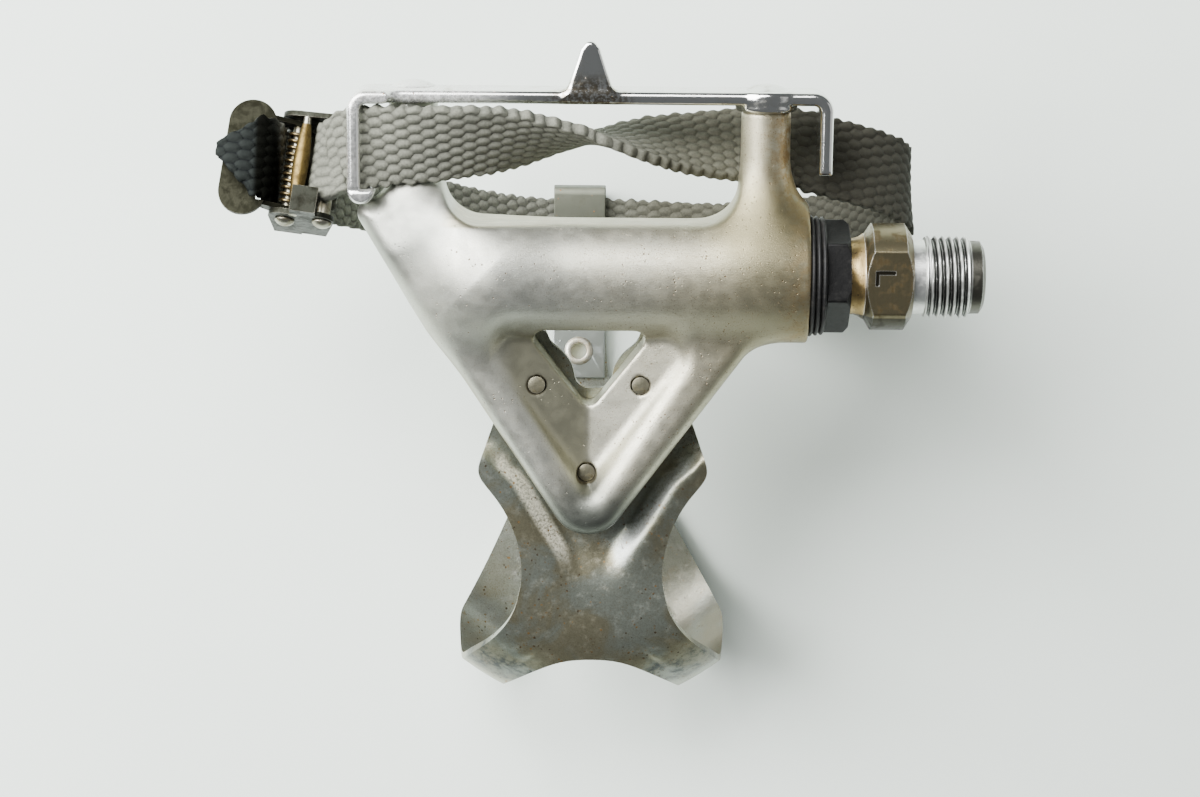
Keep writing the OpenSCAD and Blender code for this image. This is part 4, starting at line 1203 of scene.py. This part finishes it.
@dataclass
class ClipSheet:
    """Smooth sheet of the toe clip, from rows of points along its bent middle surface."""

    centre: float = -54.8
    rear_y: float = -11.0
    bend_y: float = -63.9
    plateau_z: float = -3.1
    thick: float = 1.2
    toe_r: float = 21.2
    slope: float = 13.0
    tongue: float = 5.0
    dish_depth: float = 2.5
    toe_round: float = 0.0163
    rivet_run: float = 45.4

    @staticmethod
    def ease(t: float) -> float:
        """Smooth step from 0 to 1."""
        c = min(1.0, max(0.0, t))
        return c * c * (3 - 2 * c)

    @staticmethod
    def lookup(value: float, *pairs: tuple[float, float]) -> float:
        """Value of a broken line."""
        xs, ys = zip(*pairs)
        return float(np.interp(value, xs, ys))

    @property
    def lower(self) -> float:
        """Length of the flat lower plate."""
        return self.rear_y - self.bend_y

    @property
    def bent(self) -> float:
        """Length of the bend round the toe."""
        return self.toe_r * math.radians(180 - self.slope)

    def at(self, run: float) -> tuple[float, float, float, float]:
        """Y and Z of the middle surface and of its outward direction, for a distance run."""
        if run < self.lower:
            return self.rear_y - run, self.plateau_z, 0.0, 1.0
        top = self.plateau_z - self.toe_r
        if run < self.lower + self.bent:
            a = (run - self.lower) / self.toe_r
            return self.bend_y - self.toe_r * math.sin(a), top + self.toe_r * math.cos(a), -math.sin(a), math.cos(a)
        a = math.radians(180 - self.slope)
        t, s = run - self.lower - self.bent, math.radians(self.slope)
        y, z = self.bend_y - self.toe_r * math.sin(a), top + self.toe_r * math.cos(a)
        return y + t * math.cos(s), z - t * math.sin(s), -math.sin(s), -math.cos(s)

    def half(self, run: float) -> float:
        """Half width of the sheet for a distance run."""
        if run < 50:
            y = self.rear_y - run
            d = min(23.7, abs(y + 55))
            a = 36.3 - math.sqrt(23.8**2 - d * d) + (30 if y > -36.2 else 0)
            b = 20.2 - 0.36 * (y + 34.9)
            h = max(3 - abs(a - b), 0) / 3
            return min(a, b) - h * h * 3 / 4
        return self.lookup(
            run, (50, 12.98), (52.9, 13.7), (56.6, 15), (60.3, 16.8), (63.5, 18.8), (66.9, 21.3), (72, 22.6),
            (78, 23.7), (86, 24.4), (94, 25), (98, 25), (103, 23.6), (110, 21.2), (124, 15.8), (150, 6.2),
            (156, 5.1), (162, self.tongue), (200, self.tongue),
        )

    def floor(self, y: float) -> float:
        """Half width of the dish's floor."""
        return self.lookup(y, (-60, 3.5), (-57, 4), (-51, 5.2), (-45.5, 8.6), (-38, 13), (-33, 18), (-28, 24))

    def step_down(self, x: float, y: float) -> tuple[float, float]:
        """Depth of the dish at a point, and how much of a slope it is there."""
        along, across = self.ease((y + 59) / 13), self.ease((self.floor(y) - abs(x)) / 4.8 + 0.5)
        return self.dish_depth * along * across, 4 * along * across * (1 - across)

    def rows(self) -> list[tuple[float, float, bool]]:
        """Run at the middle, run at the sides and whether the middle is open, for every row."""
        notch = [(-11 - y, -11 - y, True) for y in (-11, -12, -13, -14, -15, -16, -17.5, -19, -20.4)]
        plate = [(-11 - y, -11 - y, False) for y in (
            -21.2, -24, -27, -29.5, -31.5, -33.5, -35.2, -36.6, -38, -40,
            -42, -44, -46, -48, -50, -52.5, -55, -57.5, -60.5, -63.9,
        )]
        toe = [(54.2, 57.5, False), (56.1, 63, False), (58, 70, False), (59.8, 77, True)]
        arms = [(r, r, True) for r in (82, 86, 90, 94, 98, 101)]
        top = [(116.7, 104.7, False), (118, 108, False), (120, 112, False), (123, 117, False), (127, 123, False)]
        leg = [(r, r, False) for r in (131, 137, 143, 149, 155, 161, 167, 175, 183, 191)]
        return notch + plate + toe + arms + top + leg

    def columns(self, run: float, is_open: bool) -> list[float]:
        """X of every point of a row, from the centre line."""
        y, h = self.rear_y - run, self.half(run)
        if run < 10.3:
            i = self.lookup(y, (-21.2, 1.6), (-20.4, 2.9), (-19, 3.4), (-17, 3.6), (-15, 5.2), (-13, 7.6), (-11, 8.4))
        elif run < 50:
            i = min(max(1.6, self.floor(y) - 2.4), 1.6 + (run - 10.2) * 0.75, h * 0.7)
        elif 68.2 <= run <= 104.7:
            i = self.lookup(run, (68.2, 15.8), (86, 16.6), (104.7, 15))
        elif is_open or run < 69:
            i = self.lookup(run, (50, 2.6), (68.2, 15.8))
        else:
            i = self.lookup(run, (104.7, 15), (118, 8), (131, 4), (200, 3))
        o = max(i + 0.4, min(self.floor(y) + 2.4, h - 0.6)) if 12 < run < 48 else i + (h - i) * 0.6
        right = [i * k / 3 for k in range(1, 4)] + [i + (o - i) * k / 3 for k in range(1, 4)] + [(h + o) / 2, h]
        return [-x for x in reversed(right)] + [0.0] + right

    def grid(self, offset: float) -> tuple[Array, Array]:
        """Points and slope shares of one face of the sheet, at an offset from its middle."""
        points, shares = [], []
        for middle, side, is_open in self.rows():
            xs = self.columns(side, is_open)
            for x in xs:
                run = middle + (side - middle) * min(1.0, abs(x / xs[11]) ** 2.7)
                y, z, ny, nz = self.at(run)
                down, share = self.step_down(x, y) if run < self.lower else (0.0, 0.0)
                rounding = self.toe_round * x * x * self.ease((run - 40) / 18) * self.ease((150 - run) / 30)
                drift = -3 * self.ease((run - 104) / 70)
                points.append((self.centre + x + drift, y + offset * ny + rounding, z + offset * nz - down))
                shares.append(share)
        return np.array(points), np.array(shares)

    def build(self) -> Piece:
        """Builds the sheet as a subdivided solid with its screw and rivet holes."""
        front, share = self.grid(self.thick / 2)
        back, _ = self.grid(-self.thick / 2)
        wide, rows, shift = 17, self.rows(), len(front)
        kept = {(i, j) for i in range(len(rows) - 1) for j in range(wide - 1) if not (rows[i][2] and 5 <= j <= 10)}
        faces = []
        for i, j in kept:
            a, b, d, e = i * wide + j, i * wide + j + 1, (i + 1) * wide + j, (i + 1) * wide + j + 1
            faces += [(a, d, e, b), (shift + a, shift + b, shift + e, shift + d)]
            beside = ((i - 1, j), (a, b)), ((i + 1, j), (e, d)), ((i, j - 1), (d, a)), ((i, j + 1), (b, e))
            for other, (p, q) in beside:
                if other not in kept:
                    faces.append((p, q, shift + q, shift + p))
        used = sorted({k for face in faces for k in face})
        place = {k: n for n, k in enumerate(used)}
        points = np.vstack([front, back])[used]
        sheet = mesh_object("toe_clip_sheet", points, [tuple(place[k] for k in face) for face in faces])
        slopes = sheet.data.attributes.new("slope", "FLOAT", "POINT")
        slopes.data.foreach_set("value", np.concatenate([share, share])[used].astype(np.float32))
        rim = sheet.data.attributes.new("crease_edge", "FLOAT", "EDGE")
        split = len([k for k in used if k < shift])
        uses: dict[tuple[int, int], int] = {}
        for face in sheet.data.polygons:
            for key in face.edge_keys:
                if len({v < split for v in face.vertices}) == 2:
                    uses[key] = uses.get(key, 0) + 1
        for edge in sheet.data.edges:
            a, b = edge.vertices
            if uses.get(edge.key, 0) == 1 and (a < split) == (b < split):
                rim.data[edge.index].value = 1.0
        smooth = sheet.modifiers.new("sheet", "SUBSURF")
        smooth.levels = smooth.render_levels = 2
        make_plain(sheet)
        y, z, _, _ = self.at(self.lower + self.bent + self.rivet_run)
        way = Vector((0, math.sin(math.radians(self.slope)), math.cos(math.radians(self.slope)))) * 3
        leg = Vector((self.centre - 2.9, y, z))
        holes = [((sx, sy, -20), (sx, sy, 10), 1.7) for sx, sy in CLIP_SCREWS]
        drilled(sheet, [*holes, (leg - way, leg + way, 2.15)])
        sheet.data.shade_smooth()
        sheet.data.set_sharp_from_angle(angle=math.radians(45))
        return sheet


@dataclass
class ToeClip(Piecework):
    """Toe clip with its backing plate, screws, strap loop and rivet."""

    def build(self) -> None:
        """Builds the clip's smooth sheet and its small pieces."""
        self.stand_in(ClipSheet().build(), "toe_clip", "clip_chrome", self.finishes.clip)
        for node, name, slot, finish, edge in (
            ("clip_backing_plate", "backing_plate", "backing_steel", self.finishes.backing, (0.2,)),
            ("clip_screws", "clip_screws_turned", "backing_steel", self.finishes.screw, (0.2,)),
            ("strap_loop", "strap_loop_bent", "clip_chrome", self.finishes.loop, (0.2,)),
            ("loop_rivet", "loop_rivet_eyelet", "clip_chrome", self.finishes.eyelet, (0.25, 3)),
        ):
            self.rounded(node, name, slot, finish, edge)


@dataclass(frozen=True)
class BuckleAxes:
    """Place of the buckle: its pivot, its lean about X and its turn about Z."""

    pivot: Point = (-107.1, 17.6, -3.0)
    lean: float = 25.0
    turn: float = 7.6

    def rotation(self) -> Euler:
        """Rotation from the buckle's axes to the pedal's."""
        return Euler((math.radians(-self.lean), 0, math.radians(-self.turn)), "XYZ")

    def turned(self, direction: Numbers) -> Array:
        """Direction of the buckle's axes in the pedal's axes."""
        return np.array(self.rotation().to_matrix() @ Vector(direction))

    def at(self, point: Numbers) -> Point:
        """Point of the buckle's axes in the pedal's axes."""
        return tuple(float(v) for v in np.array(self.pivot) + self.turned(point))


@dataclass
class Strap(Piecework):
    """Woven strap on its route from the bar, round through the clip's loop, to the free end."""

    half_width: float = 7.0
    half_thickness: float = 0.6
    relief: float = 0.38
    bumps: float = 7.5
    pitch: float = 2.2
    step: float = 0.32
    cells: int = 44
    buckle: BuckleAxes = field(default_factory=BuckleAxes)
    start: tuple[tuple[float, ...], ...] = (
        (8.1, 0.9, -0.8, -180), (7.4, 0.9, -0.85, -180), (6.5, 0.9, -0.85, -180), (4.8, 0.9, -0.15, -180),
        (4.05, 0.9, 1.6, -180), (4.8, 0.9, 3.35, -180), (6.5, 1, 4.2, -180),
    )
    middle: tuple[tuple[float, ...], ...] = (
        (-98.3, 20.8, 1.4, -178, 0.7), (-96, 21.7, 2.6, -175, 0.4), (-92, 22.4, 4, -168, 0.1), (-87, 22.7, 5, -161, 0),
        (-82, 23, 5.2, -157, 0), (-77, 23.3, 4.6, -151, 0), (-72, 23.4, 3.4, -145, 0), (-66.7, 23.4, 1.9, -132, 0),
        (-61.3, 23.4, 0.4, -116, 0), (-57, 23.3, -0.9, -104, 0), (-53.7, 23.1, -1.7, -91, 0),
        (-48.3, 22.7, -3.4, -74, 0), (-42.8, 22.3, -5.2, -60, 0), (-37, 21.9, -6.6, -50, 0),
        (-30.3, 21.7, -7.8, -38, 0), (-24, 21.5, -8.4, -29, 0), (-19.5, 21.1, -8.5, -24, 0),
        (-15.2, 19.9, -8.5, -20, 0),
        (-11.4, 18.9, -8.8, -17, 0), (-6.6, 17.5, -10, -14, 0), (-2.4, 15.7, -12.6, -10, 0), (0.2, 13.6, -16, -6, 0),
        (0.8, 11.2, -20.4, -2, 0), (-1.2, 8, -26, 3, 0), (-6.2, 4.4, -33, 8, 0), (-14, 1, -41.6, 12, 0),
        (-24, -1.4, -49.6, 13, 0), (-34, -2.3, -54.6, 13, 0), (-44, -2.3, -57.6, 13, 0), (-50, -2.2, -58.3, 13, 0),
        (-57, -2.2, -58.5, 13, 0), (-64, -2.1, -58.2, 13, 0), (-71, -1.2, -55.6, 13, 0), (-79, 1, -50.4, 12, 0),
        (-86, 4.2, -42.4, 10, 0), (-91.6, 7.8, -33, 7, 0), (-95.6, 10.8, -23.4, 4, 0.2),
        (-98.8, 12.8, -15.6, 2, 0.5), (-101.6, 13.9, -11, 0, 0.8),
    )
    end: tuple[tuple[float, ...], ...] = (
        (3.3, 0, -6.1, 0), (0.3, 0, -5.6, 0), (-1.8, 0, -4, 0), (-2.7, 0, -1.4, 0), (-3.1, -0.1, 1.2, 0),
        (-4, -0.1, 3.6, 0), (-5.7, -0.2, 5.2, 0), (-8.1, -0.3, 6, 0), (-10.5, -0.3, 6.1, 0), (-12.7, -0.4, 5.7, 0),
    )

    def route(self) -> Array:
        """Whole route as X, Y, Z, turn and share of the buckle's lean."""
        def placed(points: tuple[tuple[float, ...], ...]) -> list[tuple[float, ...]]:
            """Points of the buckle's axes in the pedal's axes."""
            return [(*self.buckle.at(p[:3]), p[3], 1.0) for p in points]

        return np.array([*placed(self.start), *self.middle, *placed(self.end)], float)

    def stations(self) -> tuple[Array, Array]:
        """Even stations along the smooth route.

        Returns:
            Array of X, Y, Z, turn and lean, and the distance run at each station.
        """
        knots = self.route()
        padded = np.vstack([knots[:1], knots, knots[-1:]])
        fine = []
        for i in range(len(knots) - 1):
            a, b, c, d = padded[i : i + 4]
            for t in np.linspace(0, 1, 40, endpoint=False):
                square, cube = 2 * a - 5 * b + 4 * c - d, 3 * b - a - 3 * c + d
                fine.append(0.5 * (2 * b + (c - a) * t + square * t**2 + cube * t**3))
        path = np.array(fine + [knots[-1]])
        run = np.concatenate([[0], np.cumsum(np.linalg.norm(np.diff(path[:, :3], axis=0), axis=1))])
        even = np.arange(0, run[-1], self.step)
        return np.stack([np.interp(even, run, path[:, k]) for k in range(5)], axis=1), even

    def section(self) -> Array:
        """Offsets round the webbing's section: across (-1 to 1), thickness (-1 to 1) and outward side."""
        n = self.cells
        top = [(u, 1.0) for u in np.linspace(-0.965, 0.965, n + 1)]
        right = [(0.995, 0.55), (1.0, 0.0), (0.995, -0.55)]
        return np.array(top + right + [(-u, -1.0) for u, _ in top] + [(-u, -v) for u, v in right])

    def build(self) -> None:
        """Builds the webbing with one raised bump for each thread that shows."""
        path, run = self.stations()
        length = run[-1]
        section = self.section()
        m = len(section)
        points, across, along, side = [], [], [], []
        for i, (x, y, z, turn, lean) in enumerate(path):
            before, after = path[max(0, i - 2)][:3], path[min(len(path) - 1, i + 2)][:3]
            direction = (after - before) / np.linalg.norm(after - before)
            side_way = lean * self.buckle.turned((0, 1, 0)) + (1 - lean) * np.array([0, 1, 0])
            wide = side_way - direction * float(direction @ side_way)
            wide /= np.linalg.norm(wide)
            thick = np.cross(direction, wide)
            t = math.radians(turn)
            w = math.cos(t) * wide + math.sin(t) * thick
            h = math.cos(t) * thick - math.sin(t) * wide
            half = self.half_width * min(1.0, (length - run[i] + 1.2) / 8)
            wobble = 1 + 0.012 * math.sin(run[i] * 2.6) + 0.012 * math.sin(run[i] * 1.3 + 1)
            for u, v in section:
                knob = 0.028 * math.cos(2 * math.pi * run[i] / self.pitch) if abs(u) > 0.9 else 0.0
                points.append(np.array([x, y, z]) + w * half * (wobble + knob) * u + h * self.half_thickness * v)
                across.append(u * half + self.half_width)
                along.append(run[i])
                side.append(abs(v) if abs(u) < 0.97 else 0.0)
        faces = []
        n = len(path)
        for i in range(n - 1):
            for j in range(m):
                k = (j + 1) % m
                faces.append((i * m + j, (i + 1) * m + j, (i + 1) * m + k, i * m + k))
        faces.append(tuple(range(m)))
        faces.append(tuple((n - 1) * m + j for j in reversed(range(m))))
        strap = mesh_object("strap_webbing", np.array(points), faces)
        for key, values in (("across", across), ("along", along), ("side", side)):
            attribute = strap.data.attributes.new(key, "FLOAT", "POINT")
            attribute.data.foreach_set("value", np.array(values, np.float32))
        if self.inside_out(strap):
            strap.data.flip_normals()
        self.weave(strap)
        self.stand_in(strap, "toe_strap", "strap_webbing", self.finishes.webbing)

    def inside_out(self, obj: Piece) -> bool:
        """Whether a closed mesh has a negative volume."""
        work = bmesh.new()
        work.from_mesh(obj.data)
        volume = work.calc_volume(signed=True)
        work.free()
        return volume < 0

    def weave(self, strap: Piece) -> None:
        """Raises a dome for each crossing thread, staggered from column to column."""
        sizes = {"Bump": 2 * self.half_width / self.bumps, "Pitch": self.pitch, "Relief": self.relief * MM}
        recipe = Recipe("woven_relief", sizes)

        def named(key: str) -> Socket:
            """Value of a stored attribute."""
            return recipe.node(":InputNamedAttribute", {"Name": key}, data_type="FLOAT").outputs["Attribute"]

        across = recipe.math("DIVIDE", named("across"), recipe.size("Bump"))
        along = recipe.math("DIVIDE", named("along"), recipe.math("MULTIPLY", recipe.size("Pitch"), 2.0))
        dome = recipe.math("SQRT", recipe.pointed_bumps(across, along))
        height = recipe.math("MULTIPLY", dome, named("side"))
        kept = recipe.entry
        for key, value in (("across_threads", across), ("along_threads", along)):
            inputs = {"Name": key, "Geometry": kept.outputs[0], "Value": value}
            kept = recipe.node(":StoreNamedAttribute", inputs, data_type="FLOAT", domain="POINT")
        normal = recipe.node(":InputNormal")
        push = recipe.node("ShaderNodeVectorMath", {0: normal.outputs[0]}, operation="SCALE")
        recipe.put(push.inputs["Scale"], recipe.math("MULTIPLY", height, recipe.size("Relief")))
        moved = recipe.node(":SetPosition", {"Geometry": kept.outputs[0], "Offset": push.outputs[0]})
        recipe.run(strap, moved.outputs[0], self.finishes.webbing)


@dataclass
class Buckle(Piecework):
    """Cam buckle: frame, bar, roller on its pin, spring and lever."""

    axes: BuckleAxes = field(default_factory=BuckleAxes)
    spring_turns: float = 11
    coil_r: float = 1.38
    wire_r: float = 0.3
    spring_half: float = 6.6

    def build(self) -> None:
        """Builds every piece of the buckle."""
        looks = self.finishes
        self.rounded("buckle_base", "buckle_frame", "buckle_nickel", looks.buckle, (0.22,))
        self.rounded("buckle_lever", "buckle_lever_plate", "lever_nickel", looks.lever, (0.25, 3), Body.LEVER)
        for node in ("strap_bar", "roller_pin", "lever_pin"):
            self.rounded(node, node + "_turned", "buckle_nickel", looks.rivet, (0.12, 2, 40))
        self.dress("strap_roller", self.finishes.brass)
        self.spring()

    def spring(self) -> None:
        """Builds the torsion spring as a round wire on a spiral."""
        recipe = Recipe("torsion_spring", {
            "Turns": self.spring_turns, "Coil radius": self.coil_r * MM,
            "Wire radius": self.wire_r * MM, "Length": 2 * self.spring_half * MM,
        })
        spiral = recipe.node(":CurveSpiral", {
            "Resolution": 24, "Rotations": recipe.size("Turns"), "Start Radius": recipe.size("Coil radius"),
            "End Radius": recipe.size("Coil radius"), "Height": recipe.size("Length"),
        })
        wire = recipe.node(":CurvePrimitiveCircle", {"Resolution": 10, "Radius": recipe.size("Wire radius")})
        parts = {"Curve": spiral.outputs[0], "Profile Curve": wire.outputs[0], "Fill Caps": True}
        tube = recipe.node(":CurveToMesh", parts)
        laid = recipe.node(":Transform", {
            "Geometry": tube.outputs[0], "Rotation": (math.pi / 2, 0, 0),
            "Translation": (0, self.spring_half * MM, 0),
        })
        placed = recipe.node(":Transform", {
            "Geometry": laid.outputs[0], "Rotation": tuple(self.axes.rotation()),
            "Translation": tuple(v * MM for v in self.axes.pivot),
        })
        host = mesh_object("lever_spring_wire", np.zeros((3, 3)), [])
        recipe.run(host, placed.outputs[0], self.finishes.wire)
        self.stand_in(host, "lever_spring", "spring_steel", self.finishes.wire)


@dataclass
class Studio:
    """Table, lights and camera of the photograph."""

    camera_at: Point = (-54.68, 80.31, 479.2)
    camera_turn: Point = (-12.06, -0.02, 0.5)
    focal_px: float = 2800.0
    image_width: float = 1200.0
    table_tilt: float = 13.0

    def build(self) -> None:
        """Sets the camera, the table and the lights."""
        self.camera()
        self.table()
        self.lights()

    def camera(self) -> None:
        """Places the camera that was fitted to the photograph."""
        data = bpy.data.cameras.new("camera")
        data.sensor_width = 36.0
        data.lens = self.focal_px / self.image_width * data.sensor_width
        data.clip_start = 0.01
        data.clip_end = 20
        camera = bpy.data.objects.new("camera", data)
        camera.location = Vector(self.camera_at) * MM
        camera.rotation_euler = Euler([math.radians(a) for a in self.camera_turn], "XYZ")
        bpy.context.scene.collection.objects.link(camera)
        bpy.context.scene.camera = camera

    def table(self) -> None:
        """Lays the table under the lowest points of the object, square to the clip's upper leg."""
        up = Vector((0, math.sin(math.radians(self.table_tilt)), math.cos(math.radians(self.table_tilt))))
        right = Vector((1, 0, 0))
        back = up.cross(right)
        lowest = min(
            v.co.dot(up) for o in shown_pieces() if getattr(o, "type", "") == "MESH" for v in o.data.vertices
        )
        centre = up * lowest + right * (-0.055) + back * (-0.02)
        half = 2.5
        points = [centre + right * sx * half + back * sy * half for sx, sy in ((-1, -1), (1, -1), (1, 1), (-1, 1))]
        table = mesh_object("table", np.array([tuple(p / MM) for p in points]), [(0, 1, 2, 3)])
        table.data.materials.append(Paper().make())
        table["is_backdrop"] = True

    def lights(self) -> None:
        """Sets a big soft key light at upper left, a weak fill and a pale room."""
        world = bpy.data.worlds.new("room")
        world.use_nodes = True
        world.node_tree.nodes["Background"].inputs[0].default_value = (0.93, 0.97, 1.0, 1)
        world.node_tree.nodes["Background"].inputs[1].default_value = 0.16
        bpy.context.scene.world = world
        for name, at, size, power in (
            ("key", (-560, 360, 420), 0.75, 30.0),
            ("rear card", (-150, 620, 640), 0.4, 4.8),
            ("right card", (560, 60, 240), 0.5, 0.45),
        ):
            data = bpy.data.lights.new(name, "AREA")
            data.shape = "SQUARE"
            data.size = size
            data.energy = power
            light = bpy.data.objects.new(name, data)
            light.location = Vector(at) * MM
            aim = Vector((-55, 0, -10)) * MM - light.location
            light.rotation_euler = aim.to_track_quat("-Z", "Y").to_euler()
            bpy.context.scene.collection.objects.link(light)


def main() -> None:
    """Builds the object and its studio."""
    logging.basicConfig(level=logging.INFO, format="%(name)s: %(message)s")
    finishes = Finishes()
    for assembly in (SpindleUnit, PedalBody, Cage, ToeClip, Strap, Buckle):
        assembly(finishes).build()
    Studio().build()


if __name__ == "__main__":
    main()
